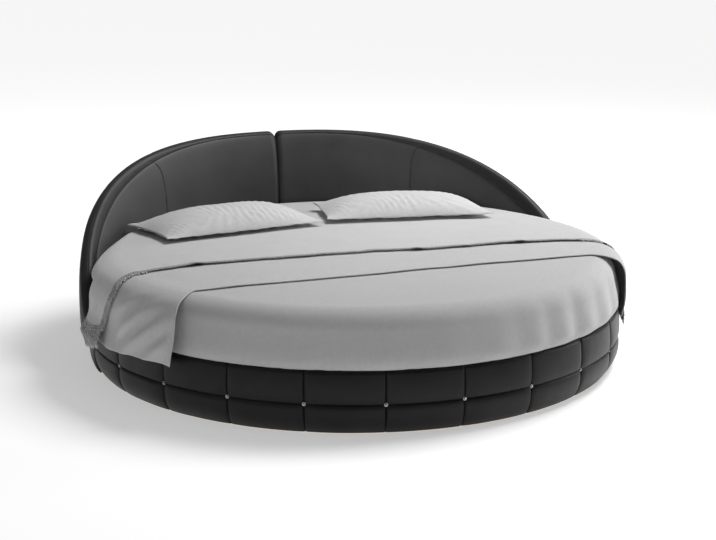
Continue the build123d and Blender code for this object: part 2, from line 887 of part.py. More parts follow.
# Curved plates across the ring's four joints, and their bolts
for plate_name, plate_center in plate_centers.items():
    with BuildPart() as joint_plate:
        add(
            ring_sector(
                plate_inner_radius,
                plate_outer_radius,
                plate_bottom_height,
                plate_bottom_height + plate_height,
                plate_center - plate_half_angle,
                plate_center + plate_half_angle,
            )
        )
        add(
            plate_bolt_holes(
                plate_center - plate_half_angle,
                plate_center + plate_half_angle,
                plate_inner_radius,
                plate_outer_radius,
            ),
            mode=Mode.SUBTRACT,
        )
    save(joint_plate.part, f"joint_plate_{plate_name}")

with BuildPart() as joint_bolts:
    for bolt_angle, bolt_height in plate_bolt_places:
        add(
            radial_bolt(
                bolt_angle,
                bolt_height,
                plate_inner_radius - seat_gap,
                plate_bolt_length,
                plate_bolt_radius,
                plate_bolt_head_radius,
                plate_bolt_head_height,
            )
        )
save(joint_bolts.part, "joint_bolts")

# Bolts and washers that hold the headboard to the rear rail
washer_outer_radius = frame_inner_radius - seat_gap
washer_inner_radius = washer_outer_radius - washer_thickness
all_headboard_bolt_places = [90 + side * angle for angle in headboard_bolt_angles for side in (-1, 1)]

with BuildPart() as headboard_washers:
    for bolt_angle in all_headboard_bolt_places:
        with BuildSketch(facing_plane(bolt_angle, washer_inner_radius, headboard_bolt_height)):
            Circle(washer_radius)
            Circle(headboard_bolt_radius + bolt_clearance, mode=Mode.SUBTRACT)
        extrude(amount=washer_thickness)
save(headboard_washers.part, "headboard_washers")

with BuildPart() as headboard_bolts:
    for bolt_angle in all_headboard_bolt_places:
        add(
            radial_bolt(
                bolt_angle,
                headboard_bolt_height,
                washer_inner_radius - seat_gap,
                headboard_bolt_length,
                headboard_bolt_radius,
                headboard_bolt_head_radius,
                headboard_bolt_head_height,
            )
        )
save(headboard_bolts.part, "headboard_bolts")

# Glides that the ring and the headboard stand on
for glide_name, glide_circle, glide_side in (
    ("rail_glides", rail_glide_radius, -1),
    ("headboard_glides", plinth_glide_radius, 1),
):
    glide_places = [
        on_circle(glide_circle, glide_side * 90 + side * (90 - angle))
        for angle in glide_angles
        for side in (-1, 1)
    ]
    with BuildPart() as glides:
        with BuildSketch():
            with Locations(glide_places):
                Circle(glide_radius)
        extrude(amount=foot_height)
        chamfer(glides.edges().group_by(Axis.Z)[0], length=glide_chamfer)
        with BuildSketch(Plane.XY.offset(foot_height)):
            with Locations(glide_places):
                Circle(glide_spigot_radius)
        extrude(amount=glide_spigot_length)
    save(glides.part, glide_name)

# Mattress: a rounded cylinder with a taped edge above and below its border
tape_radius = mattress_radius - tape_edge_radius
tape_heights = (mattress_bottom + mattress_edge_round, mattress_top - mattress_edge_round)

with BuildPart() as mattress:
    with BuildSketch(Plane.XZ):
        with BuildLine():
            round_start = mattress_radius - mattress_edge_round
            Polyline(
                (round_start, mattress_top),
                (0, mattress_top),
                (0, mattress_bottom),
                (round_start, mattress_bottom),
            )
            ThreePointArc(
                (round_start, mattress_bottom),
                (round_start + (mattress_edge_round - tape_edge_radius) * half_share,
                 tape_heights[0] - mattress_edge_round * half_share),
                (tape_radius, tape_heights[0]),
            )
            Line((tape_radius, tape_heights[0]), (tape_radius, tape_heights[1]))
            ThreePointArc(
                (tape_radius, tape_heights[1]),
                (round_start + (mattress_edge_round - tape_edge_radius) * half_share,
                 tape_heights[1] + mattress_edge_round * half_share),
                (round_start, mattress_top),
            )
        make_face()
        with Locations([(tape_radius, height) for height in tape_heights]):
            Circle(tape_edge_radius)
    revolve(axis=Axis.Z)
save(mattress.part, "mattress")

# Duvet: a padded disc that falls over the front rail in soft folds
core_radius = mattress_radius - duvet_core_inset
liner_radius = duvet_outer_radius - duvet_liner_inset
fold_center = duvet_outer_radius - duvet_fold_depth + duvet_fold_radius

with BuildPart() as duvet:
    with BuildSketch(Plane.XZ):
        with BuildLine():
            flat_end = duvet_back_radius - duvet_back_round
            Polyline(
                (flat_end, duvet_top),
                (0, duvet_top),
                (0, duvet_bottom),
                (duvet_back_radius, duvet_bottom),
            )
            Line((duvet_back_radius, duvet_bottom), (duvet_back_radius, duvet_top - duvet_back_round))
            ThreePointArc(
                (duvet_back_radius, duvet_top - duvet_back_round),
                (
                    duvet_back_radius - duvet_back_round * corner_cut,
                    duvet_top - duvet_back_round * corner_cut,
                ),
                (flat_end, duvet_top),
            )
        make_face()
    revolve(axis=Axis.Z)
    wing_angle = arc_at(duvet_outer_radius, duvet_wing_clearance)
    with BuildSketch(radial_plane(-180 + wing_angle)):
        with BuildLine():
            shoulder_end = (duvet_outer_radius - duvet_shoulder_end_inset, duvet_top - duvet_shoulder_drop)
            bulge = (duvet_outer_radius, duvet_hem + duvet_bulge_height)
            hem_end = (duvet_outer_radius - duvet_hem_inset, duvet_hem)
            liner_hem = (liner_radius, duvet_hem)
            liner_top = (mattress_radius, duvet_bottom)
            Polyline(
                (duvet_flat_radius, duvet_top),
                (core_radius, duvet_top),
                (core_radius, duvet_bottom),
                liner_top,
            )
            ThreePointArc(
                liner_top,
                (liner_radius - duvet_liner_rise, duvet_bottom - duvet_shoulder_drop),
                liner_hem,
            )
            Line(liner_hem, hem_end)
            ThreePointArc(
                hem_end,
                (duvet_outer_radius - duvet_hem_inset * corner_cut, duvet_hem + duvet_bulge_height / 2),
                bulge,
            )
            ThreePointArc(
                bulge,
                (duvet_outer_radius - duvet_waist_inset, duvet_top - duvet_waist_drop),
                shoulder_end,
            )
            ThreePointArc(
                shoulder_end,
                (
                    duvet_flat_radius + (shoulder_end[0] - duvet_flat_radius) / 2,
                    duvet_top - duvet_shoulder_drop * corner_cut,
                ),
                (duvet_flat_radius, duvet_top),
            )
        make_face()
    revolve(axis=Axis.Z, revolution_arc=180 - 2 * wing_angle)
    with BuildSketch(Plane.XY.offset(duvet_hem - cut_overrun)):
        with Locations([on_circle(fold_center, angle) for angle in duvet_fold_angles]):
            Circle(duvet_fold_radius)
    extrude(amount=duvet_top - duvet_hem, mode=Mode.SUBTRACT)
save(duvet.part, "duvet")


def cloth_section(angle, bottom, thickness, clearance, flare, hem_height):
    """Section of a hanging cloth at an angle: over the duvet's shoulder and down to the hem."""
    start_radius = duvet_flat_radius - cloth_lap
    shoulder_radius = duvet_flat_radius + cloth_shoulder_reach + clearance
    shoulder_height = bottom - cloth_shoulder_drop
    hem_radius = rail_outer_radius + clearance + flare
    side_radius = hem_radius + cloth_side_swell
    side_height = (shoulder_height + hem_height) / 2
    arc_radius = duvet_flat_radius + cloth_arc_share * (shoulder_radius - duvet_flat_radius)
    arc_height = bottom - cloth_shoulder_drop * corner_cut
    with BuildSketch(radial_plane(angle)) as section:
        with BuildLine():
            Line((start_radius, bottom), (duvet_flat_radius, bottom))
            ThreePointArc(
                (duvet_flat_radius, bottom),
                (arc_radius, arc_height),
                (shoulder_radius, shoulder_height),
            )
            ThreePointArc(
                (shoulder_radius, shoulder_height),
                (side_radius, side_height),
                (hem_radius, hem_height),
            )
            Line((hem_radius, hem_height), (hem_radius + thickness, hem_height))
            ThreePointArc(
                (hem_radius + thickness, hem_height),
                (side_radius + thickness, side_height),
                (shoulder_radius + thickness, shoulder_height + thickness / 2),
            )
            ThreePointArc(
                (shoulder_radius + thickness, shoulder_height + thickness / 2),
                (arc_radius + thickness * half_share, arc_height + thickness * half_share),
                (duvet_flat_radius, bottom + thickness),
            )
            Polyline(
                (duvet_flat_radius, bottom + thickness),
                (start_radius, bottom + thickness),
                (start_radius, bottom),
            )
        make_face()
    return section.sketch


# Blanket: a folded band across the bed that hangs over both sides of the rail
blanket_front_edge = blanket_front_edge_share * rail_outer_radius
blanket_back_edge = blanket_back_edge_share * rail_outer_radius

with BuildPart() as blanket:
    with BuildSketch(Plane.XY.offset(blanket_bottom + cloth_slab_inset)):
        Circle(duvet_flat_radius)
        with Locations((0, (blanket_back_edge - blanket_front_edge) / 2)):
            Rectangle(2 * duvet_flat_radius, blanket_back_edge + blanket_front_edge, mode=Mode.INTERSECT)
    extrude(amount=blanket_thickness - 2 * cloth_slab_inset)
    for side in (-1, 1):
        add(
            loft(
                [
                    cloth_section(
                        90 - side * angle,
                        blanket_bottom,
                        blanket_thickness,
                        cloth_rail_clearance,
                        flare,
                        height,
                    )
                    for angle, flare, height in zip(
                        blanket_side_angles, blanket_hem_flares, blanket_hem_heights
                    )
                ],
                mode=Mode.PRIVATE,
            )
        )
save(blanket.part, "blanket")

# Top sheet: laps over the blanket and hangs beside the headboard's wings, its front corners cut
# back along the slant of the free edge
sheet_clearance = cloth_rail_clearance + blanket_thickness + seat_gap
sheet_back_edge = sheet_back_edge_share * rail_outer_radius
edge_points = [
    (x * rail_outer_radius, y * rail_outer_radius) for x, y in zip(sheet_edge_x_shares, sheet_edge_y_shares)
]

with BuildPart() as top_sheet:
    with BuildSketch(Plane.XY.offset(sheet_bottom + cloth_slab_inset)):
        with BuildLine():
            Polyline(
                *edge_points,
                (rail_outer_radius, sheet_back_edge),
                (-rail_outer_radius, sheet_back_edge),
                close=True,
            )
        make_face()
        Circle(duvet_flat_radius, mode=Mode.INTERSECT)
    extrude(amount=sheet_thickness - 2 * cloth_slab_inset)
    for side, fall_shares in ((-1, sheet_left_fall_shares), (1, sheet_right_fall_shares)):
        fall_top, fall_bottom = [share * rail_outer_radius for share in fall_shares]
        add(
            loft(
                [
                    cloth_section(
                        90 - side * angle,
                        sheet_bottom,
                        sheet_thickness,
                        sheet_clearance,
                        flare,
                        height,
                    )
                    for angle, flare, height in zip(sheet_side_angles, sheet_hem_flares, sheet_hem_heights)
                ],
                mode=Mode.PRIVATE,
            )
        )
        with BuildSketch(Plane.YZ.offset(side * (duvet_flat_radius - 2 * cloth_lap))):
            with BuildLine():
                Polyline(
                    (-fall_top, sheet_top + cut_overrun),
                    (-fall_bottom, min(sheet_hem_heights) - cut_overrun),
                    (-far, min(sheet_hem_heights) - cut_overrun),
                    (-far, sheet_top + cut_overrun),
                    close=True,
                )
            make_face()
        extrude(amount=side * far, mode=Mode.SUBTRACT)
save(top_sheet.part, "top_sheet")

# Pillows: flat pointed corners, sides drawn in between them and a full crown
pillow_bottom = sheet_top + seat_gap

for pillow_name, x_share, y_share, pillow_turn in (
    ("pillow_left", pillow_left_x_share, pillow_left_y_share, pillow_left_turn),
    ("pillow_right", pillow_right_x_share, pillow_right_y_share, pillow_right_turn),
):
    with BuildPart() as pillow:
        for level, inset in zip(pillow_level_shares, pillow_inset_shares):
            half_length = (1 - inset * pillow_depth / pillow_length) * pillow_length / 2
            half_depth = (1 - inset) * pillow_depth / 2
            draw = (1 - inset) * pillow_side_draw
            turned = Plane(
                origin=(
                    x_share * rail_outer_radius,
                    y_share * rail_outer_radius,
                    pillow_bottom + level * pillow_thickness,
                ),
                x_dir=(*on_circle(1, pillow_turn), 0),
                z_dir=(0, 0, 1),
            )
            corners = [
                (half_length, half_depth),
                (-half_length, half_depth),
                (-half_length, -half_depth),
                (half_length, -half_depth),
            ]
            middles = [
                (0, half_depth - draw),
                (draw - half_length, 0),
                (0, draw - half_depth),
                (half_length - draw, 0),
            ]
            with BuildSketch(turned):
                with BuildLine():
                    for corner_start, middle, corner_end in zip(corners, middles, corners[1:] + corners[:1]):
                        ThreePointArc(corner_start, middle, corner_end)
                make_face()
        loft()
    save(pillow.part, pillow_name)
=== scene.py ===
import json
from math import asin, cos, degrees, pi, radians, sin

import bmesh
import bpy
import numpy as np
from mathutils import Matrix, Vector, noise
from mathutils.kdtree import KDTree


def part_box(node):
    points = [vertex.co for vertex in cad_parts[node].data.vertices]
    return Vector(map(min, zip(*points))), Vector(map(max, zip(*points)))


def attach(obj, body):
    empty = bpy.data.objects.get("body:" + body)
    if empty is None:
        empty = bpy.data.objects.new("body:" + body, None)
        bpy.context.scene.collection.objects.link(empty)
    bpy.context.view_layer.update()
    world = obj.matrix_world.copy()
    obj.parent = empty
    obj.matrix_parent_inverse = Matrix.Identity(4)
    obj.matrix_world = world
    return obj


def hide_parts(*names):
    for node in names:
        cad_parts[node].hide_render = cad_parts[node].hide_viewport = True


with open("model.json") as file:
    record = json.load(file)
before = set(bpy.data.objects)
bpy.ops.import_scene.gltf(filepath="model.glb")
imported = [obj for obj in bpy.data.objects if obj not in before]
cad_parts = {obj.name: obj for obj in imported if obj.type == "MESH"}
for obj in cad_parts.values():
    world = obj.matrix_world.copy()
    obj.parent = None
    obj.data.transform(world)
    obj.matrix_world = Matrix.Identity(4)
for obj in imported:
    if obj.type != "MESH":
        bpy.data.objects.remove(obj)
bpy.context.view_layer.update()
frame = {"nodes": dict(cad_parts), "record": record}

# Round bed. Metres; origin on the floor at the centre of the ring, +Y to the headboard, +Z up.
# Angles called swing run from the bed's back axis to either side; side is -1 on the left and 1 on the right.

# Rail: outer radius, bottom of the sewn valleys, back of the pad and inner lip, then the heights of its foot,
# channel and top, and its panels
RAIL_RADIUS = 1.2
RAIL_VALLEY = 1.186
RAIL_PAD_BACK = 1.1553
RAIL_LIP = 1.0853
RAIL_BOTTOM = 0.006
RAIL_CHANNEL = 0.125
RAIL_TOP = 0.2553
PANEL_COUNT = 12
PANEL_ANGLE = pi / PANEL_COUNT
PANEL_PUFF = RAIL_RADIUS - 0.0005

# Headboard: radii from the front cushion to the rear pad, heights, the law of its top edge, its middle gap,
# the ends of its wings and its upright seam
CUSHION_FRONT = 1.1053
CUSHION_BACK = 1.1713
BOARD_FRONT = 1.1716
BOARD_BACK = 1.1896
BACK_FRONT = 1.1899
BACK_OUTER = 1.2346
CUSHION_BOTTOM = 0.1763
SHELL_BOTTOM = 0.1253
HEADBOARD_HEIGHT = 0.846
CURVE_BASE = 0.1
FULLNESS = 1.45
END_BLEND = 8
GAP_SIDE = 0.003
GAP_CORNER = 0.034
WING_END = 0.0004
WING_ROUND = 0.02
SEAM_SWING = radians(36.0)
SEAM_STEP = 0.0012

# Bedding: radii of the flat top and of the duvet's back, heights of the duvet and of the top sheet's face
FLAT_RADIUS = 1.058
DUVET_BACK = 1.0923
DUVET_TOP = 0.4796
DUVET_BOTTOM = 0.4496
DUVET_HEM = 0.2556
SHEET_TOP = 0.4924

# Mesh building


def new_object(name, vertices, faces, smooth=True):
    """Object at the origin from lists of vertices and faces, its normals turned outwards."""
    mesh = bpy.data.meshes.new(name)
    mesh.from_pydata([tuple(v) for v in vertices], [], [tuple(f) for f in faces])
    work = bmesh.new()
    work.from_mesh(mesh)
    bmesh.ops.remove_doubles(work, verts=work.verts, dist=1e-6)
    bmesh.ops.dissolve_degenerate(work, edges=work.edges, dist=1e-7)
    bmesh.ops.recalc_face_normals(work, faces=work.faces)
    work.to_mesh(mesh)
    work.free()
    mesh.polygons.foreach_set("use_smooth", [smooth] * len(mesh.polygons))
    return link(bpy.data.objects.new(name, mesh))


def grid_faces(rows, columns, wrap_rows=False, wrap_columns=False, keep=None):
    """Quads of a grid of rows by columns, as index lists."""
    faces = []
    for i in range(rows if wrap_rows else rows - 1):
        for j in range(columns if wrap_columns else columns - 1):
            if keep is not None and not keep[i, j]:
                continue
            i2 = (i + 1) % rows
            j2 = (j + 1) % columns
            faces.append((i * columns + j, i * columns + j2, i2 * columns + j2, i2 * columns + j))
    return faces


def loft_solid(name, points):
    """Closed solid from sections: points[i, j] is point j of closed section i; the ends are capped."""
    rows, columns = points.shape[:2]
    faces = grid_faces(rows, columns, wrap_columns=True)
    faces.append(tuple(range(columns)))
    faces.append(tuple((rows - 1) * columns + j for j in range(columns)))
    return new_object(name, points.reshape(-1, 3), faces)


def closed_disc(name, points, first, last):
    """Closed round solid: points[i, j] is point j of the open section i, from first round to last."""
    rows, columns = points.shape[:2]
    faces = grid_faces(rows, columns, wrap_rows=True)
    start = rows * columns
    for i in range(rows):
        here, ahead = i * columns, (i + 1) % rows * columns
        faces += [(start, here, ahead), (start + 1, ahead + columns - 1, here + columns - 1)]
    return new_object(name, [*points.reshape(-1, 3), first, last], faces)


def around(radius, angle, height):
    """Point at a radius, an angle from +X in radians and a height."""
    x, y, z = np.broadcast_arrays(radius * np.cos(angle), radius * np.sin(angle), height)
    return np.stack([x, y, z], axis=-1)


def bezier(corners, count):
    """Points of a cubic curve from its four corners, its first point left out."""
    p0, p1, p2, p3 = np.array(corners)
    t = np.linspace(0, 1, count + 1)[1:, None]
    return (1 - t) ** 3 * p0 + 3 * (1 - t) ** 2 * t * p1 + 3 * (1 - t) * t**2 * p2 + t**3 * p3


def eased(count):
    """Shares from 0 to 1, closer together at both ends."""
    return 0.5 - 0.5 * np.cos(pi * np.linspace(0, 1, count))


def link(piece):
    """Put an object into the scene."""
    bpy.context.scene.collection.objects.link(piece)
    return piece


def ripple(x, y, z, scale, seed=0.0):
    """Smooth noise field at arrays of places, about -1 to 1."""
    shape = np.broadcast(x, y, z).shape
    flat = zip(*(np.broadcast_to(v, shape).ravel() for v in (x, y, z)))
    heights = [noise.noise(Vector((a * scale + seed, b * scale, c * scale))) for a, b, c in flat]
    return np.array(heights).reshape(shape)


def made_plain(piece):
    """Turn what a piece's modifiers make into its own plain mesh."""
    shown = piece.evaluated_get(bpy.context.evaluated_depsgraph_get())
    made = bpy.data.meshes.new_from_object(shown)
    made.name = piece.name
    piece.modifiers.clear()
    old = piece.data
    piece.data = made
    bpy.data.meshes.remove(old)
    return made


def smooth_step(low_edge, high_edge, x):
    """0 below the low edge, 1 above the high edge, smooth between."""
    t = np.clip((x - low_edge) / (high_edge - low_edge), 0, 1)
    return t * t * (3 - 2 * t)


def finish_piece(piece, body, material, slot, *nodes):
    """Material, body and the CAD nodes that a piece stands for; the slot argument is not used."""
    piece.data.materials.clear()
    piece.data.materials.append(material)
    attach(piece, body)
    if nodes:
        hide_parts(*nodes)
    return piece


# Front rail upholstery


def panel_edges(position, count):
    """Share across its panel, from -1 to 1, of a position from 0 to count."""
    return 2 * (position - np.floor(np.clip(position, 0, count - 1e-9))) - 1


def panel_positions(count):
    """Positions along a row of panels, closer together at the seams."""
    steps = []
    for panel in range(count):
        share = np.linspace(0, 1, 34, endpoint=False)
        steps.extend(panel + 0.5 - 0.5 * np.cos(pi * share))
    steps.append(count)
    return np.array(steps)


def panel_rise(share):
    """How full a panel stands at a share of the way from its lengthwise seam to its far edge."""
    return np.sqrt(1 - (1 - share) ** 6)


def foot_padding(side, name):
    """Strip round the headboard's foot, in line with the lower row of the rail's panels."""
    count = PANEL_COUNT // 2
    end_gap, channel_gap = 0.0003, 0.0006
    position = panel_positions(count)
    start = end_gap / BOARD_FRONT
    angle = pi / 2 - side * (start + (pi / 2 - 2 * start) * position / count)
    puff = np.sqrt(1 - np.abs(panel_edges(position, count)) ** 9)
    share = eased(22)
    height = RAIL_BOTTOM + (RAIL_CHANNEL - channel_gap - RAIL_BOTTOM) * share
    below = 1 - share
    full = RAIL_VALLEY + (PANEL_PUFF - RAIL_VALLEY) * panel_rise(below) - 0.022 * below**4
    valley = RAIL_VALLEY + 0.003 * np.sqrt(below) - 0.018 * below**4
    loops = []
    for turn, fullness in zip(angle, puff):
        r = np.concatenate([[BOARD_FRONT], valley + (full - valley) * fullness, [BOARD_FRONT]])
        z = np.concatenate([[RAIL_BOTTOM], height, [RAIL_CHANNEL]])
        loops.append(around(r, turn, z))
    return loft_solid(name, np.array(loops))


def rail_padding():
    """Leatherette pad round the front rail: two rows of crowned panels, drawn in where the seams cross."""
    position = panel_positions(PANEL_COUNT)
    angle = -pi + position * PANEL_ANGLE
    puff = np.sqrt(1 - np.abs(panel_edges(position, PANEL_COUNT)) ** 6)[:, None]

    top_roll = 0.012
    lower_z = RAIL_BOTTOM + (RAIL_CHANNEL - RAIL_BOTTOM) * eased(22)
    upper_z = RAIL_CHANNEL + (RAIL_TOP - top_roll - RAIL_CHANNEL) * eased(22)
    face_z = np.concatenate([lower_z, upper_z[1:]])
    below = np.clip((RAIL_CHANNEL - face_z) / (RAIL_CHANNEL - RAIL_BOTTOM), 0, 1)
    above = np.clip((face_z - RAIL_CHANNEL) / (RAIL_TOP - RAIL_CHANNEL), 0, 1)
    from_seam = np.maximum(below, above)
    rise = panel_rise(from_seam)
    full = RAIL_VALLEY + (PANEL_PUFF - RAIL_VALLEY) * rise - 0.038 * below**2.8 - 0.013 * above**2.5
    valley = RAIL_VALLEY + 0.003 * np.sqrt(from_seam) - 0.031 * below**2.8 - 0.008 * above**2.5
    radius = valley + (full - valley) * puff

    # Round each button the cover dips and gathers into eight small puckers
    arc = (position * PANEL_ANGLE * RAIL_RADIUS)[:, None]
    up = face_z[None, :] - RAIL_CHANNEL
    dip_depth, dip_width, pucker_depth, pucker_reach = 0.0035, 0.016, 0.0022, 0.022
    for button in range(1, PANEL_COUNT):
        away = arc - button * PANEL_ANGLE * RAIL_RADIUS
        distance = np.hypot(away, up)
        turn = np.arctan2(up, away)
        radius = radius - dip_depth * np.exp(-((distance / dip_width) ** 2))
        pucker = np.cos(8 * turn + button) * distance / 0.02 * np.exp(-distance / pucker_reach)
        radius = radius - pucker_depth * np.abs(pucker) * (np.abs(away) > 0.001)
    places = around(RAIL_RADIUS, angle[:, None], np.broadcast_to(face_z, radius.shape))
    swell = ripple(places[..., 0], places[..., 1], places[..., 2], 7.0, 3.1)
    crease = ripple(places[..., 0], places[..., 1], places[..., 2] * 0.4, 23.0, 8.7)
    radius = radius + (0.0016 * swell + 0.0006 * crease) * puff * rise

    seam_depth, seam_width = 0.004, 0.003
    beside = np.min(np.abs(arc - np.arange(1, PANEL_COUNT) * PANEL_ANGLE * RAIL_RADIUS), axis=1)
    radius = radius - seam_depth * np.exp(-((beside / seam_width) ** 2))[:, None]
    radius = np.minimum(radius, RAIL_RADIUS)

    # The section runs on over the top, down the inner lip and back under it
    lip_under = RAIL_TOP - 0.0098
    over_r = [1.165, 1.14, 1.11, 1.09, RAIL_LIP, RAIL_LIP, 1.12, RAIL_PAD_BACK]
    over_z = [RAIL_TOP] * 4 + [RAIL_TOP - 0.002] + [lip_under] * 3
    loops = []
    for outline, turn in zip(radius, angle):
        rolled = [outline[-1] - 0.004, outline[-1] - top_roll]
        r = np.concatenate([[RAIL_PAD_BACK], outline, rolled, over_r])
        z = np.concatenate([[RAIL_BOTTOM], face_z, [RAIL_TOP - 0.004, RAIL_TOP], over_z])
        loops.append(around(r, turn, z))
    return loft_solid("rail_padding", np.array(loops))


# Headboard


def headboard_top(swing):
    """Height of the headboard at a swing in radians: it sweeps down and runs out level with the rail."""
    fall = 1 - np.cos(swing)
    crown = np.clip(1 - fall**FULLNESS, 0, 1) ** (1 / FULLNESS)
    curve = CURVE_BASE + (HEADBOARD_HEIGHT - CURVE_BASE) * crown
    return (curve**END_BLEND + RAIL_TOP**END_BLEND) ** (1 / END_BLEND)


def end_inset(distance, radius):
    """How far a rounded end draws a face in at a distance from its plane."""
    reach = np.clip(radius - distance, 0, radius)
    return radius - np.sqrt(radius**2 - reach**2)


def headboard_columns(radius):
    """Swings of a half's sections, closer together at both ends and across the upright seam."""
    last = pi / 2 - WING_END / radius
    spread = list(np.linspace(0, last, 250))
    spread += [0.03 * (k / 14) ** 2 for k in range(1, 15)]
    spread += [last - 0.02 * (k / 12) ** 2 for k in range(1, 13)]
    spread += [SEAM_SWING + k * SEAM_STEP for k in range(-14, 15)]
    return np.unique(np.round(np.array(spread), 6))


def border_depth(swing):
    """How far down the face the border seam runs below the crest: further down on the wings."""
    return 0.014 + 0.052 * smooth_step(radians(12), radians(72), swing)


def seam_path():
    """Upright seam on the unrolled front face: up from the base, then outwards into the border seam."""
    foot = SEAM_SWING * CUSHION_FRONT
    end = border_depth(SEAM_SWING + 0.05)
    rise, run = 0.105, 0.062
    upright = [(foot, s) for s in np.linspace(-0.75, -end - rise, 120)]
    bend = np.linspace(0, pi / 2, 60)
    return np.array(upright + [(foot + run * (1 - cos(t)), -end - rise + rise * sin(t)) for t in bend])


def groove(distance, width, depth):
    """Dip across a seam: a fine groove in a wide soft dip."""
    fine = np.exp(-((distance / width) ** 2))
    soft = np.exp(-((distance / (6 * width)) ** 2))
    return depth * fine + 0.25 * depth * soft


def half_section(r, z, swing, side):
    """Places of a headboard half's section, held clear of the middle gap and of the wing's end plane."""
    points = around(r, pi / 2 - side * (swing + np.arcsin(GAP_SIDE / r)), z)
    points[:, 1] = np.maximum(points[:, 1], WING_END)
    return points


def mark_painted_shade(piece, places, values):
    """Store how far each vertex takes painted shade, in the attribute named border, from the values at the
    piece's places.
    """
    places = np.reshape(places, (-1, 3))
    values = np.ravel(values)
    tree = KDTree(len(places))
    for k, place in enumerate(places):
        tree.insert(place, k)
    tree.balance()
    found = [values[tree.find(vertex.co)[1]] for vertex in piece.data.vertices]
    attribute = piece.data.attributes.new("border", "FLOAT", "POINT")
    attribute.data.foreach_set("value", np.array(found, np.float32))


# How steep the cushion's lean ends, and the steps up its face, its lean and its rolled band
CUSHION_LEAN = radians(62)
CUSHION_FACE_STEPS = np.linspace(0, 1, 12)
CUSHION_LEAN_STEPS = np.concatenate([np.linspace(0, 0.8, 28)[1:], np.linspace(0.8, 1, 14)[1:]])
CUSHION_BAND_STEPS = np.linspace(0, 1, 20)[1:]


def cushion_profile(swing):
    """Radii and heights of the padded front at a swing, up its face, its lean and its roll over the crest.

    Also returns the crest's place in the lists and the height of the border seam.
    """
    gap = CUSHION_FRONT * np.sin(swing)
    wing = CUSHION_FRONT * np.cos(swing) - WING_END
    top = headboard_top(swing) - end_inset(gap, GAP_CORNER)
    inset = end_inset(gap, 0.024) + end_inset(wing, WING_ROUND)
    band = min(border_depth(swing), 0.5 * (top - CUSHION_BOTTOM))
    lean = min(0.27, 0.82 * (top - band - CUSHION_BOTTOM))
    front = CUSHION_FRONT + 0.001 + inset
    back = BOARD_BACK - min(inset, 0.004)
    depth = 0.052 - 0.4 * inset
    face = top - band - lean - CUSHION_BOTTOM
    r = []
    z = []
    for t in CUSHION_FACE_STEPS:
        r.append(front + 0.008 * (1 - t) ** 3)
        z.append(CUSHION_BOTTOM + face * t)
    for t in CUSHION_LEAN_STEPS:
        turn = t * CUSHION_LEAN
        r.append(front + depth * (1 - cos(turn)) / (1 - cos(CUSHION_LEAN)))
        z.append(top - band - lean + lean * sin(turn) / sin(CUSHION_LEAN))
    for t in CUSHION_BAND_STEPS:
        turn = t * pi / 2
        r.append(front + depth + (back - 0.002 - front - depth) * (1 - cos(turn)))
        z.append(top - band + band * sin(turn))
    crest = len(r) - 1
    r += [back - 0.0004, back, back]
    z += [top, top - 0.0004, top - 0.004]
    return np.array(r), np.array(z), crest, top - band


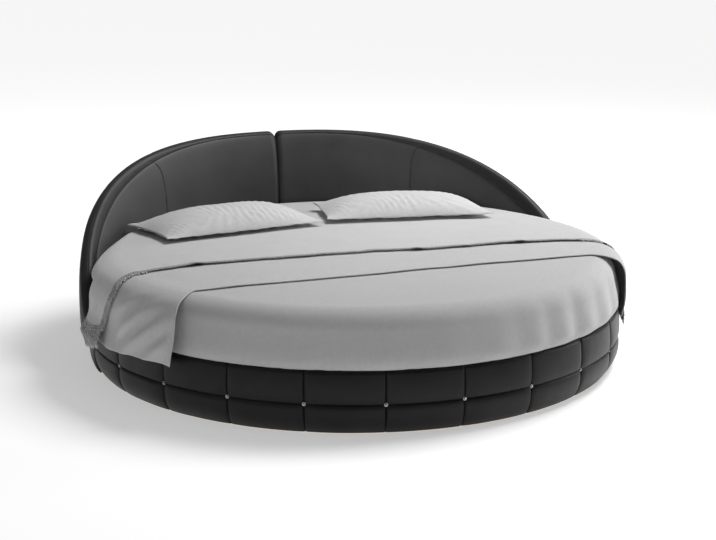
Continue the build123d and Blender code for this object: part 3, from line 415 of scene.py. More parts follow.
def headboard_cushion(side, name):
    """One half of the padded front, which leans back into its crest, with a border seam and an upright one.

    Returns the piece and paths for the stitches beside its seams.
    """
    swings = headboard_columns(CUSHION_FRONT)
    seam = seam_path()
    border_seam = len(CUSHION_FACE_STEPS) + len(CUSHION_LEAN_STEPS) - 1
    loops = []
    depths = []
    marks = []
    for swing in swings:
        r, z, crest, band_foot = cushion_profile(swing)
        gap = CUSHION_FRONT * np.sin(swing)
        wing = CUSHION_FRONT * np.cos(swing) - WING_END
        top, back = z[crest + 1], r[-1]
        soft = len(r)
        steps = np.hypot(np.gradient(r), np.gradient(z))
        inward_r = np.gradient(z) / steps
        inward_z = -np.gradient(r) / steps
        along = np.concatenate([[0], np.cumsum(np.hypot(np.diff(r), np.diff(z)))])
        along -= along[crest]

        # Both seams dip into the face; the border seam fades out at the gap and at the wing's end
        away = np.min(np.hypot(seam[:, 0] - swing * CUSHION_FRONT, seam[:, 1] - along[:, None]), axis=1)
        border = smooth_step(0.0, 0.2, gap) * smooth_step(0.22, 0.52, wing)
        below = np.abs(along - along[border_seam])
        upright_dip = groove(away, 0.0022, 0.0030)
        border_dip = groove(below, 0.0020, 0.0022) * border
        dip = np.maximum(upright_dip, border_dip) * (along < 0)
        r = r + dip * inward_r
        z = z + dip * inward_z
        # Painted shade: the crest band above the border seam is marked to be painted darker; the cap and back
        # points added below are marked too.
        painted_shade_mask = smooth_step(band_foot - 0.002, band_foot + 0.002, z)

        low_cap = max(top - 0.055, CUSHION_BOTTOM + 0.004)
        span = low_cap - CUSHION_BOTTOM
        r = np.concatenate([r, [back] + [CUSHION_BACK] * 4])
        z = np.concatenate([z, [low_cap, low_cap], CUSHION_BOTTOM + span * np.array([0.66, 0.33, 0])])
        points = half_section(r, z, swing, side)
        x, y, height = points[:soft].T
        wave = 0.0018 * ripple(x, y, height, 5.0, 1.7) + 0.0005 * ripple(x, y, height, 17.0, 4.7)
        wave = np.maximum(wave, -0.0006) * smooth_step(0, 0.08, gap) * smooth_step(0.0, 0.01, -along)
        points[:soft, :2] *= (1 + wave / r[:soft])[:, None]
        loops.append(points)
        depths.append(along)
        marks.append(np.concatenate([painted_shade_mask, np.ones(len(points) - soft)]))
    loops = np.array(loops)
    piece = loft_solid(name, loops)
    mark_painted_shade(piece, loops, marks)

    def on_face(swing, along):
        """Place on the finished face at a swing and a distance below the crest."""
        k = int(np.clip(np.searchsorted(swings, swing) - 1, 0, len(swings) - 2))
        share = (swing - swings[k]) / (swings[k + 1] - swings[k])
        ends = np.array([
            [np.interp(along, depths[i], loops[i, : len(depths[i]), c]) for c in range(3)]
            for i in (k, k + 1)
        ])
        return (1 - share) * ends[0] + share * ends[1]

    stitches = []
    stitch_offset = 0.0045
    seam_end = -border_depth(SEAM_SWING)
    for offset in (-stitch_offset, stitch_offset):
        reach = np.linspace(radians(10), radians(83), 220)
        stitches.append([on_face(s, -border_depth(s) + offset) for s in reach])
        stitches.append([
            on_face((arc + offset) / CUSHION_FRONT, min(s, seam_end - 0.008))
            for arc, s in seam[::2]
            if -0.42 < s < seam_end - 0.012
        ])
    return piece, stitches


def headboard_back(side, name):
    """One half of the padded back, from the foot strip up to the rolled top edge, with an upright seam."""
    side_steps = np.concatenate([np.linspace(0, 0.06, 6), np.linspace(0.06, 1, 26)[1:]])
    hem, arch, step = 0.026, 0.038, 0.006
    loops = []
    for swing in headboard_columns(BACK_OUTER):
        gap = BACK_OUTER * np.sin(swing)
        wing = BACK_OUTER * np.cos(swing) - WING_END
        top = headboard_top(swing) - end_inset(gap, GAP_CORNER)
        outer = BACK_OUTER - end_inset(gap, 0.02) - end_inset(wing, WING_ROUND)
        pull = groove(abs(swing - SEAM_SWING) * BACK_OUTER, 0.0024, 0.0032)
        r = []
        z = []
        for t in np.linspace(0, 1, 9)[:-1]:
            turn = t * pi / 2
            r.append(outer - step - hem + hem * sin(turn) - pull * sin(turn))
            z.append(SHELL_BOTTOM + hem * (1 - cos(turn)))
        for t in side_steps:
            r.append(outer - step + step * (4 * t * (1 - t)) ** 0.5 - pull)
            z.append(SHELL_BOTTOM + hem + (top - arch - SHELL_BOTTOM - hem) * t)
        for t in np.linspace(0, 1, 14)[1:]:
            turn = t * pi / 2
            r.append(outer - arch + (arch - step) * cos(turn) - pull * cos(turn))
            z.append(top - arch + arch * sin(turn) - pull * sin(turn))
        soft = len(r)
        span = top - SHELL_BOTTOM
        r += [BACK_FRONT + 0.003, BACK_FRONT + 0.0003] + [BACK_FRONT] * 5 + [BACK_FRONT + 0.01]
        z += [top, top, top - 0.0003, top - 0.004]
        z += [SHELL_BOTTOM + 0.66 * span, SHELL_BOTTOM + 0.33 * span, SHELL_BOTTOM, SHELL_BOTTOM]
        r = np.array(r)
        points = half_section(r, np.array(z), swing, side)
        x, y, height = points[:soft].T
        wave = np.clip(0.002 * ripple(x, y, height, 4.0, 6.1) - 0.001, -0.003, 0.0)
        points[:soft, :2] *= (1 + wave / r[:soft])[:, None]
        loops.append(points)
    piece = loft_solid(name, np.array(loops))
    # The whole rear pad is marked for painted shade.
    mark_painted_shade(piece, loops, np.ones(np.shape(loops)[:2]))
    return piece


# Bedding


def bed_rise(x, y):
    """Soft unevenness of the made bed's top, shared by the layers on it."""
    x, y = np.broadcast_arrays(np.asarray(x, float), np.asarray(y, float))
    reach = np.hypot(x, y)
    swell = 0.5 + 0.5 * ripple(x, y, 0 * x, 2.6, 5.3)
    fold = ripple(x * 0.6, y, 0 * x, 7.5, 2.2)
    return (0.005 * swell + 0.0016 * fold) * (1 - smooth_step(0.9, 1.04, reach))


# Soft folds down the duvet's front: angle from +X in degrees, depth in metres, half width in degrees
DUVET_FOLDS = (
    (-161, 0.004, 3.0), (-148, 0.005, 3.6), (-131, 0.003, 4.5), (-113, 0.003, 4.2), (-99, 0.003, 4.0),
    (-88, 0.004, 3.0), (-78, 0.006, 2.3), (-70, 0.008, 2.0), (-61.5, 0.014, 2.2), (-52, 0.007, 2.2),
    (-43, 0.007, 2.4), (-33, 0.008, 2.6), (-22, 0.007, 2.6),
)
# The duvet's hanging section in radii and heights: shoulder and skirt by the corners of their curves, then
# round the hem and up inside
DUVET_SHOULDER = ((FLAT_RADIUS, DUVET_TOP), (1.110, DUVET_TOP + 0.001), (1.151, 0.455), (1.164, 0.408))
DUVET_SKIRT = ((1.164, 0.408), (1.174, 0.362), (1.192, 0.310), (1.189, 0.285))
DUVET_ROLLED_HEM = (
    (1.1875, 0.272), (1.184, 0.263), (1.178, 0.2575), (1.170, 0.2558), (1.163, 0.2562), (1.158, 0.260),
)
DUVET_INNER = ((1.155, 0.285), (1.150, 0.33), (1.138, 0.38), (1.110, 0.43), (1.085, DUVET_BOTTOM))


def duvet_swell(turn):
    """How far the duvet's folds dip and the cloth beside them swells, at an angle in degrees."""
    fold = crest = 0.0
    for place, depth, width in DUVET_FOLDS:
        fold += depth * np.exp(-(((turn - place) / width) ** 2))
        left = np.exp(-(((turn - place - 1.9 * width) / width) ** 2))
        right = np.exp(-(((turn - place + 1.9 * width) / width) ** 2))
        crest += 0.35 * depth * (left + right)
    return crest - fold


def duvet_shape():
    """Duvet: a padded disc that falls over the front rail in soft folds and is open below."""
    wing = asin(0.003 / 1.19)
    front = np.linspace(-pi + wing, -wing, 420)
    back = np.linspace(wing, pi - wing, 220)
    back[0] = -wing + 0.0005
    back[-1] = pi + wing - 0.0005
    angles = np.concatenate([front, back])
    is_front = np.arange(len(angles)) < len(front)
    top_shares = np.linspace(0, 1, 34)[1:]
    hanging = np.concatenate([bezier(DUVET_SHOULDER, 17), bezier(DUVET_SKIRT, 17), DUVET_ROLLED_HEM])
    drop = np.clip((DUVET_TOP - hanging[:, 1]) / (DUVET_TOP - DUVET_HEM), 0, 1)
    edge_round, edge_count = 0.025, 8
    loops = []
    for turn, hangs in zip(angles, is_front):
        r = list(FLAT_RADIUS * top_shares)
        z = [DUVET_TOP] * len(top_shares)
        if hangs:
            ease = smooth_step(0.0, radians(5), turn + pi) * smooth_step(0.0, radians(5), -turn)
            shift = duvet_swell(degrees(turn)) * drop**0.8 * (0.35 + 0.65 * ease)
            shift = shift * (1 - 0.8 * smooth_step(0.82, 1.0, drop))
            wave = 0.003 * noise.noise(Vector((turn * 9, 0.3, 0)))
            wave += 0.002 * noise.noise(Vector((turn * 31, 0.9, 0)))
            r += list(np.minimum(hanging[:, 0] + shift, 1.197 - 0.004 * (1 - drop)))
            z += list(hanging[:, 1] + (hanging[:, 1] < 0.275) * max(wave, 0) * 0.7)
            r += [place[0] for place in DUVET_INNER]
            z += [place[1] for place in DUVET_INNER]
        else:
            bend = np.linspace(pi / 2, 0, len(hanging) - edge_count)
            r += list(DUVET_BACK - edge_round + edge_round * np.cos(bend)) + [DUVET_BACK] * edge_count
            z += list(DUVET_TOP - edge_round + edge_round * np.sin(bend))
            z += list(np.linspace(DUVET_TOP - edge_round - 0.0005, DUVET_BOTTOM + 0.0005, edge_count))
            r += [DUVET_BACK - 0.0005, 1.09, 1.088, 1.0865, 1.085]
            z += [DUVET_BOTTOM] * 5
        r += list(1.08 * np.linspace(1, 0, 9)[:-1])
        z += [DUVET_BOTTOM] * 8
        loops.append(around(np.array(r), turn, np.array(z)))
    loops = np.array(loops)
    flat = loops[:, : len(top_shares) + 8]
    flat[..., 2] += bed_rise(flat[..., 0], flat[..., 1])
    first = (0, 0, DUVET_TOP + float(bed_rise(0, 0)))
    return closed_disc("quilt", loops, first, (0, 0, DUVET_BOTTOM))


def cloth_object(name, points, keep, thickness, uv, marks):
    """Closed cloth from a grid of places on its middle surface: two faces and rounded edges.

    keep says which quads there are, uv gives flat places in metres, and marks how far a trimmed edge is.
    Returns the piece and the area of one face.
    """
    rows, columns = points.shape[:2]
    flat = points.reshape(-1, 3)
    quads = np.array(grid_faces(rows, columns, keep=keep))
    normal = np.zeros_like(flat)
    face_normal = np.cross(flat[quads[:, 2]] - flat[quads[:, 0]], flat[quads[:, 3]] - flat[quads[:, 1]])
    for corner in range(4):
        np.add.at(normal, quads[:, corner], face_normal)
    length = np.linalg.norm(normal, axis=1)
    used = length > 0
    normal[used] /= length[used][:, None]
    area = float(np.sum(np.linalg.norm(face_normal, axis=1)) / 2)

    # Edges that only one quad has, with the direction that leads out of the cloth at each
    edges = {}
    for face in quads.tolist():
        for a, b in zip(face, face[1:] + face[:1]):
            if (b, a) in edges:
                del edges[(b, a)]
            else:
                edges[(a, b)] = True
    outward = np.zeros_like(flat)
    for a, b in edges:
        out = np.cross(flat[b] - flat[a], normal[a] + normal[b])
        out /= max(np.linalg.norm(out), 1e-9)
        outward[a] += out
        outward[b] += out
    border = sorted({v for edge in edges for v in edge})
    spread = np.linalg.norm(outward[border], axis=1)
    outward[border] /= np.maximum(spread, 1e-9)[:, None]

    count = int(used.sum())
    number = np.full(len(flat), -1)
    number[used] = np.arange(count)
    number = number.tolist()
    rim_number = {v: 2 * count + k for k, v in enumerate(border)}
    top = flat[used] + normal[used] * thickness / 2
    bottom = flat[used] - normal[used] * thickness / 2
    rim = flat[border] + outward[border] * thickness * 0.55
    vertices = np.concatenate([top, bottom, rim])
    faces = [tuple(number[v] for v in face) for face in quads]
    faces += [tuple(number[v] + count for v in face[::-1]) for face in quads]
    for a, b in edges:
        faces.append((number[b], number[a], rim_number[a], rim_number[b]))
        faces.append((rim_number[b], rim_number[a], number[a] + count, number[b] + count))

    mesh = bpy.data.meshes.new(name)
    mesh.from_pydata(vertices.tolist(), [], faces)
    work = bmesh.new()
    work.from_mesh(mesh)
    bmesh.ops.recalc_face_normals(work, faces=work.faces)
    work.to_mesh(mesh)
    work.free()
    mesh.polygons.foreach_set("use_smooth", [True] * len(mesh.polygons))
    places = uv.reshape(-1, 2)
    places = np.concatenate([places[used], places[used], places[border]]).astype(np.float32)
    layer = mesh.uv_layers.new(name="flat_cloth")
    loop_vertices = np.empty(len(mesh.loops), dtype=np.int32)
    mesh.loops.foreach_get("vertex_index", loop_vertices)
    layer.data.foreach_set("uv", places[loop_vertices].ravel())
    values = marks.ravel()
    values = np.concatenate([values[used], values[used], values[border]]).astype(np.float32)
    attribute = mesh.attributes.new("trim", "FLOAT", "POINT")
    attribute.data.foreach_set("value", values)
    return link(bpy.data.objects.new(name, mesh)), area


def length_along(places):
    """Length of a line of places up to each of them."""
    return np.concatenate([[0], np.cumsum(np.linalg.norm(np.diff(places, axis=0), axis=1))])


def at_lengths(values, gone, lengths):
    """Values along a line, each a row for a length in gone, read off at other lengths."""
    return np.stack([np.interp(lengths, gone, column) for column in np.transpose(values)], axis=1)


def through(knots, share):
    """Places along a smooth line through knots, by share of its length, and that length."""
    knots = np.asarray(knots, float)
    padded = np.concatenate([2 * knots[:1] - knots[1:2], knots, 2 * knots[-1:] - knots[-2:-1]])
    fine = []
    for k in range(len(knots) - 1):
        p0, p1, p2, p3 = padded[k], padded[k + 1], padded[k + 2], padded[k + 3]
        for t in np.linspace(0, 1, 16, endpoint=False):
            bend = (2 * p0 - 5 * p1 + 4 * p2 - p3) * t**2 + (3 * p1 - p0 - 3 * p2 + p3) * t**3
            fine.append(0.5 * (2 * p1 + (p2 - p0) * t + bend))
    fine.append(knots[-1])
    fine = np.array(fine)
    gone = length_along(fine)
    return at_lengths(fine, gone, share * gone[-1]), gone[-1]


# Where a cloth leaves the flat top and turns down over the rail: radius, shares of its clearance and of its
# shoulder_out that are added, drop below the top, and share of shoulder_out by which it stands higher
SHOULDER = (
    (1.104, 0.5, 1.0, 0.006, 0.1), (1.146, 1.0, 1.3, 0.026, 0.2), (1.176, 1.0, 1.1, 0.062, 0.0),
    (1.194, 1.0, 0.6, 0.112, 0.0),
)
# Distance that the trimmed band reads at the hem, as a share of the real one: the band is wider there
HEM_SHARE = 0.36
# Share of the hanging columns that a row has where it only turns down beside the headboard
TUCKED_SHARE = 0.32


def shoulder_knots(level, clearance, out=0.0):
    """Radii and heights of the line by which a cloth leaves the bed's top."""
    return [(FLAT_RADIUS, level)] + [
        (radius + share * clearance + out_share * out, level - drop + rise * out)
        for radius, share, out_share, drop, rise in SHOULDER
    ]


def hanging_row(cloth, facts, first, swing, level, shares):
    """Radii, swings, heights and lengths down a row of cloth that hangs over the rail.

    swing is where this row leaves the bed's top, in degrees, and first is where the front row does.
    """
    back = facts["back_swing"]
    edge_swing = np.interp(shares, facts["edge_shares"], facts["edge_swings"])
    span = np.maximum(edge_swing - back, 0.4)
    power = np.maximum((first - back) / span, 1.0)
    gone = (first - swing) / (first - back)
    row_swing = edge_swing - span * (1 - (1 - gone) ** power)
    hem_radius = np.interp(row_swing[-1], facts["swings"], facts["hem_radii"])
    hem_height = np.interp(row_swing[-1], facts["swings"], facts["hem_heights"])

    out = facts["shoulder_out"] * smooth_step(104, 116, swing)
    knots = shoulder_knots(level, cloth["clearance"], out)
    shoulder = level - SHOULDER[-1][3]
    drawn = facts["kick_draw"] * (1 - smooth_step(*facts["kick_swings"], swing))
    reach_down = min((shoulder - hem_height) / (shoulder - facts["hem_level"]), 1.0)
    for radius, height in facts["kick"]:
        knots.append((radius - drawn, shoulder - (shoulder - height) * reach_down))
    line, drop = through(knots + [(hem_radius, hem_height)], shares)

    arc = np.radians(row_swing) * RAIL_RADIUS
    fold = 0
    for length, amount, skew, phase in facts["folds"]:
        fold = fold + amount * (0.5 + 0.5 * np.sin(2 * pi * (arc + skew * shares * drop) / length + phase))
    from_edge = np.radians(edge_swing - row_swing) * RAIL_RADIUS
    depth = smooth_step(0.1, 0.7, shares) * (1 - 0.45 * smooth_step(0.8, 1.0, shares))
    depth = depth * (1 - np.exp(-((from_edge / 0.045) ** 2))) * smooth_step(*facts["fold_start"], row_swing)
    curl = facts["curl"] * np.exp(-(first - swing) / 1.6) * smooth_step(0.12, 0.5, shares)
    return line[:, 0] + fold * depth + curl, np.radians(row_swing), line[:, 1], shares * drop


def tucked_row(cloth, tucked_count, swing, level, shares):
    """The same for a row further back, which tucks in beside the mattress or turns down over the rail."""
    clearance = cloth["clearance"]
    tucked = [(FLAT_RADIUS, level), (1.074, level - 0.004), (1.086 + 0.3 * clearance, level - 0.016),
              (1.0935 + 0.5 * clearance, level - 0.03)]
    over = shoulder_knots(level, clearance)[: len(tucked)]
    bulge = smooth_step(62, 93, swing)
    short_shares = np.minimum(shares / shares[tucked_count - 1], 1.0)
    line, drop = through((1 - bulge) * np.array(tucked) + bulge * np.array(over), short_shares)
    return line[:, 0], np.full(len(shares), radians(swing)), line[:, 1], short_shares * drop


def laid_out(cloth, back_share):
    """Part of a cloth that lies on the bed: a grid of places, and how far each is from its front edge."""
    across = np.linspace(-1, 1, cloth["tops"])[None, :]
    x = np.broadcast_to(across * FLAT_RADIUS, (len(back_share), cloth["tops"]))
    for _ in range(6):
        front = cloth["front"](x)
        y = front + back_share * (cloth["back"] - front)
        x = across * np.sqrt(np.maximum(FLAT_RADIUS**2 - y**2, 1e-6))
    front = cloth["front"](x)
    y = front + back_share * (cloth["back"] - front)
    from_edge = y - front
    z = cloth["level"] + bed_rise(x, y) + cloth["lift"] * np.exp(-from_edge / 0.018)
    roll = ripple(x * 0.8, y, 0 * x, 9.0, cloth["seed"])
    z = z + cloth["wave"] * (0.5 + 0.5 * roll) * (1 - smooth_step(0.93, 1.04, np.hypot(x, y)))
    for place, width, height in cloth["puckers"]:
        bump = np.exp(-(((x - place) / width) ** 2))
        z = z + height * bump * np.exp(-((from_edge / (1.6 * width)) ** 2))
        y = y - 0.5 * height * bump * np.exp(-from_edge / 0.03)
    return x, y, z


def draped(name, cloth):
    """A cloth across the bed that hangs over both sides of the rail; cloth is a dict of its sizes.

    Returns the piece, the area of one face, its grid of places and the last hanging row of each side.
    """
    rows, tops, sides = cloth["rows"], cloth["tops"], cloth["sides"]
    share = np.linspace(0, 1, rows)[:, None]
    back_share = 0.35 * share + 0.65 * share**1.5
    x, y, z = laid_out(cloth, back_share)
    grid = np.zeros((rows, 2 * sides + tops, 3))
    grid[:, sides : sides + tops] = np.stack([x, y, z], axis=-1)
    keep = np.ones((rows - 1, 2 * sides + tops - 1), bool)
    hem_distance = np.full((rows, 2 * sides + tops), 9.0)
    down_shares = (np.arange(1, sides + 1) / sides) ** 0.85
    tucked_count = int(TUCKED_SHARE * sides)
    last_rows = {}
    for side, word, rim, columns, cut_off in (
        (-1, "left", 0, slice(sides - 1, None, -1), slice(0, sides - tucked_count)),
        (1, "right", -1, slice(sides + tops, None), slice(sides + tops - 1 + tucked_count, None)),
    ):
        facts = cloth[word]
        swing = 90 + np.degrees(np.arcsin(np.clip(-y[:, rim] / FLAT_RADIUS, -1, 1)))
        hangs = swing >= facts["back_swing"]
        down = np.zeros((rows, sides))
        for i in range(rows):
            if hangs[i]:
                row = hanging_row(cloth, facts, swing[0], swing[i], z[i, rim], down_shares)
            else:
                row = tucked_row(cloth, tucked_count, swing[i], z[i, rim], down_shares)
            radius, row_swing, height, down[i] = row
            grid[i, columns] = around(radius, pi / 2 - side * row_swing, height)
        last = int(np.max(np.nonzero(hangs)[0]))
        keep[last:, cut_off] = False
        down = down[: last + 1]
        hem_distance[: last + 1, columns] = HEM_SHARE * (np.max(down, axis=1)[:, None] - down)
        last_rows[side] = last

    # Flat places in metres, across from the middle column and back from the front edge
    flat_x = np.zeros((rows, 2 * sides + tops))
    flat_x[:, 1:] = np.cumsum(np.linalg.norm(np.diff(grid, axis=1), axis=2), axis=1)
    flat_x -= flat_x[:, sides + tops // 2][:, None]
    flat_y = np.broadcast_to(back_share * (cloth["back"] - cloth["front"](np.zeros(1))), flat_x.shape)
    edge_distance = np.zeros_like(flat_x)
    edge_distance[1:] = np.cumsum(np.linalg.norm(np.diff(grid, axis=0), axis=2), axis=0)
    marks = np.minimum(edge_distance, hem_distance)
    uv = np.stack([flat_x, flat_y], axis=-1)
    piece, area = cloth_object(name, grid, keep, cloth["thickness"], uv, marks)
    return piece, area, grid, last_rows


# The sheet's free front edge, as shares of the rail's radius across the bed and towards the headboard
SHEET_EDGE = (
    (-1.3, -0.30), (-1, -0.262), (-0.9, -0.212), (-0.78, -0.18), (-0.66, -0.166), (-0.31, -0.166),
    (0, -0.18), (0.21, -0.215), (0.53, -0.23), (0.77, -0.264), (0.914, -0.30), (1.3, -0.335),
)


def sheet_front(x):
    """Free front edge of the top sheet across the bed."""
    places, edge = RAIL_RADIUS * np.transpose(SHEET_EDGE)
    return np.interp(x, places, edge) + 0.002 * np.sin(x * 23.0) + 0.0015 * np.sin(x * 51.0 + 1.0)


def blanket_front(x):
    """Free front edge of the blanket: nearly straight across the bed."""
    return -0.576 + 0.003 * np.sin(x * 5.0) + 0.0015 * np.sin(x * 17.0 + 0.6)


# Both cloths, as grids: rows run back from the front edge, with tops places on the bed and sides places down
# each side. level is the height of the middle surface, clearance its distance from the duvet's shoulder, lift
# how much the front edge stands up, and wave its unevenness. Puckers are place across, width and height.
# On each side, with swings in degrees, the cloth hangs over the rail as far back as back_swing. Its front
# edge hangs at edge_swings at edge_shares of its drop, and its hem at hem_radii and hem_heights at swings.
# kick is the radii and heights of a flare above a hem at hem_level, drawn in by kick_draw behind kick_swings.
# shoulder_out moves the shoulder out near the front. Folds are wavelength, depth, slant and phase, and set in
# over fold_start. curl turns the free edge out.
BLANKET = {
    "rows": 104, "tops": 150, "sides": 44, "thickness": 0.0048, "level": 0.4836, "clearance": 0.006,
    "front": blanket_front, "back": 0.64, "lift": 0.0012, "wave": 0.0015, "seed": 12.0, "puckers": (),
    "left": {
        "back_swing": 95.2, "curl": 0.026, "fold_start": (105, 110), "kick": ((1.218, 0.285),),
        "kick_draw": 0.015, "kick_swings": (105, 111), "hem_level": 0.23, "shoulder_out": 0,
        "edge_shares": (0, 0.14, 0.28, 0.41, 0.56, 0.72, 0.86, 1),
        "edge_swings": (122.8, 123.2, 123.7, 124.5, 125.0, 125.1, 124.8, 124.4),
        "swings": (95, 100, 102, 104, 108, 112, 118, 124.5),
        "hem_radii": (1.211, 1.214, 1.217, 1.219, 1.221, 1.221, 1.221, 1.221),
        "hem_heights": (0.200, 0.200, 0.196, 0.197, 0.208, 0.2156, 0.222, 0.226),
        "folds": ((0.155, 0.015, 1.45, 0.6), (0.067, 0.003, 1.2, 2.0)),
    },
    "right": {
        "back_swing": 95.2, "curl": 0.003, "fold_start": (102, 107), "kick": ((1.214, 0.285),),
        "kick_draw": 0, "kick_swings": (90, 91), "hem_level": 0.23, "shoulder_out": 0.022,
        "edge_shares": (0, 0.14, 0.28, 0.41, 0.56, 0.72, 0.86, 1),
        "edge_swings": (123.0, 123.4, 123.6, 123.6, 123.3, 123.0, 122.7, 122.4),
        "swings": (95, 102, 108, 113, 118.5, 123.5),
        "hem_radii": (1.208, 1.209, 1.209, 1.208, 1.205, 1.200),
        "hem_heights": (0.190, 0.190, 0.194, 0.200, 0.206, 0.212),
        "folds": ((0.17, 0.004, -0.9, 1.4), (0.08, 0.002, 0.25, 0.5)),
    },
}
TOP_SHEET = {
    "rows": 92, "tops": 150, "sides": 60, "thickness": 0.0042, "level": 0.4899, "clearance": 0.0135,
    "front": sheet_front, "back": 0.70, "lift": 0.0035, "wave": 0.0022, "seed": 30.0,
    "puckers": ((-0.655 * RAIL_RADIUS, 0.03, 0.007), (0.17 * RAIL_RADIUS, 0.024, 0.008),
                (0.58 * RAIL_RADIUS, 0.026, 0.007), (0.36 * RAIL_RADIUS, 0.016, 0.003)),
    "left": {
        "back_swing": 91.6, "curl": 0.003, "fold_start": (90, 94),
        "kick_draw": 0, "kick_swings": (90, 91), "hem_level": 0.23, "shoulder_out": 0,
        "kick": ((1.211, 0.330), (1.217, 0.292), (1.240, 0.248), (1.254, 0.222)),
        "edge_shares": (0, 0.13, 0.26, 0.38, 0.51, 0.63, 0.79, 0.91, 1),
        "edge_swings": (102.7, 103.3, 103.9, 104.6, 104.1, 102.8, 101.6, 101.4, 101.4),
        "swings": (91.6, 93, 95, 98, 101.5, 107.5),
        "hem_radii": (1.238, 1.246, 1.250, 1.248, 1.246, 1.246),
        "hem_heights": (0.204, 0.186, 0.180, 0.188, 0.204, 0.204),
        "folds": ((0.075, 0.004, 0.25, 0.9), (0.034, 0.002, 0.10, 2.2)),
    },
    "right": {
        "back_swing": 92.4, "curl": 0.002, "fold_start": (90, 91), "kick": ((1.221, 0.300), (1.221, 0.220)),
        "kick_draw": 0, "kick_swings": (90, 91), "hem_level": 0.20, "shoulder_out": 0.022,
        "edge_shares": (0, 0.5, 0.8, 1),
        "edge_swings": (108.5, 110.5, 113.5, 117.5),
        "swings": (92.4, 95, 97, 102, 107.5, 114, 118),
        "hem_radii": (1.224, 1.224, 1.223, 1.222, 1.220, 1.217, 1.216),
        "hem_heights": (0.168, 0.165, 0.168, 0.166, 0.160, 0.156, 0.160),
        "folds": ((0.12, 0.005, -0.25, 0.3), (0.05, 0.003, 0.12, 1.2)),
    },
}


def mattress_shape():
    """Mattress: quilted border between two taped edges, lightly quilted faces."""
    (_, _, bottom), (radius, _, top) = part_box("mattress")
    tape, tape_drop = 0.003, 0.021

    def edge(level, way):
        """Half a section from the flat face at a level round its taped edge, way being where it heads."""
        face = [(share * (radius - 0.034), level, 0, way) for share in np.linspace(0, 1, 12)[1:]]
        face += [(radius - 0.022, level + way * 0.002, 0, 0), (radius - 0.012, level + way * 0.009, 0, 0)]
        bends = np.linspace(-pi / 2, pi / 2, 6)
        height = level + way * tape_drop
        return face + [(radius - tape + tape * cos(t), height + way * 0.006 * sin(t), 0, 0) for t in bends]

    border_z = bottom + 0.030 + np.linspace(0, 1, 18) * (top - bottom - 0.060)
    border = [(radius - 0.006, z, 1, 0) for z in border_z]
    section = np.array(edge(bottom, 1) + border + edge(top, -1)[::-1])
    loops = []
    for turn in np.linspace(-pi, pi, 288, endpoint=False):
        r = section[:, 0].copy()
        z = section[:, 1].copy()
        slant = (z - bottom) * 30
        quilting = np.abs(np.sin(turn * 36 + slant)) ** 0.7 * np.abs(np.sin(turn * 36 - slant)) ** 0.7
        r += section[:, 2] * (0.006 * quilting - 0.003)
        tuft = (np.cos(r * cos(turn) * 2 * pi / 0.24) * np.cos(r * sin(turn) * 2 * pi / 0.24)) ** 2
        z = z + section[:, 3] * 0.003 * (1 - tuft)
        loops.append(around(r, turn, z))
    return closed_disc("mattress_body", np.array(loops), (0, 0, bottom), (0, 0, top))


def flat_size(grid, cloth):
    """Width across the bed along the cloth's longest row, and length from its front edge to its back."""
    width = np.max(np.sum(np.linalg.norm(np.diff(grid, axis=1), axis=2), axis=1))
    length = cloth["back"] - float(np.min(cloth["front"](np.linspace(-1, 1, 41) * RAIL_RADIUS)))
    return round(float(width), 2), round(length, 2)


def tuft_points(grid, sides, side, last, spacing):
    """Places and directions of the tufts down a hanging free edge and along its hem."""
    if side > 0:
        grid = grid[:, ::-1]
    falling = [(grid[0, j], grid[0, j] - grid[2, j]) for j in range(sides + 2, 0, -1)]
    hem = [(grid[i, 0], grid[i, 0] - grid[i, 1]) for i in range(last + 1)]
    places, ways = np.array(falling + hem).transpose(1, 0, 2)
    ways = ways / np.maximum(np.linalg.norm(ways, axis=1), 1e-9)[:, None]
    ways[:, 2] -= 0.6
    gone = length_along(places)
    at = np.arange(0, gone[-1], spacing)
    return at_lengths(places, gone, at), at_lengths(ways, gone, at)


# Pillows

PILLOW_LENGTH = 0.79
PILLOW_DEPTH = 0.42
PILLOW_BORDER = 0.012
PILLOW_HEIGHT = 0.110
PILLOW_SEAM = 0.24 * PILLOW_HEIGHT
PILLOW_CLOTH = 0.0016
PILLOW_GRID = (54, 110)


def pillow_pocket(length, depth):
    """Upper and lower grids of a plump pocket whose heights, from 0 to 1, taper to its four corners."""
    u = np.linspace(-1, 1, PILLOW_GRID[1])[None, :]
    v = np.linspace(-1, 1, PILLOW_GRID[0])[:, None]
    x = np.broadcast_to(u * length / 2, PILLOW_GRID)
    y = np.broadcast_to(v * depth / 2, PILLOW_GRID)
    plump = (1 - np.abs(u) ** 3.1) ** 0.9 * (1 - np.abs(v) ** 2.2) ** 0.74
    belly = (1 - np.abs(u) ** 3.0) * (1 - np.abs(v) ** 2.6) ** 0.6
    return np.stack([x, y, plump], axis=-1), np.stack([x, y, -belly], axis=-1)


def pillow_wrinkles(x, y, inside, seed):
    """Relief of a pillow's upper face: puckers by its seam, drag marks, and a fan of soft wrinkles.

    inside is 0 at the seam and 1 at the middle.
    """
    level = 0 * x
    around_middle = np.arctan2(y / PILLOW_DEPTH, x / PILLOW_LENGTH)
    puckers = np.sin(around_middle * 34 + 2.5 * ripple(x, y, level, 8.0, seed + 3))
    puckers = puckers * smooth_step(0.0, 0.08, inside) * (1 - smooth_step(0.25, 0.6, inside))
    drag = ripple(x * 1.6 + y * 2.2, y * 0.6 - x * 0.3, level, 13.0, seed) * smooth_step(0.0, 0.2, inside)
    fan = (x + 0.25 * y - 0.9 * x * y) / 0.034
    fan = fan + 1.6 * ripple(x, y, level, 3.2, seed + 6) + 0.35 * ripple(x, y, level, 11.0, seed + 8)
    strength = smooth_step(0.0, 0.25, inside) * (0.55 + 1.3 * ripple(x, y, level, 5.0, seed + 9))
    fan = (0.5 + 0.5 * np.sin(2 * pi * fan)) ** 1.4 * np.clip(strength, 0, 1)
    return 0.0009 * puckers + 0.0014 * drag + 0.0030 * fan


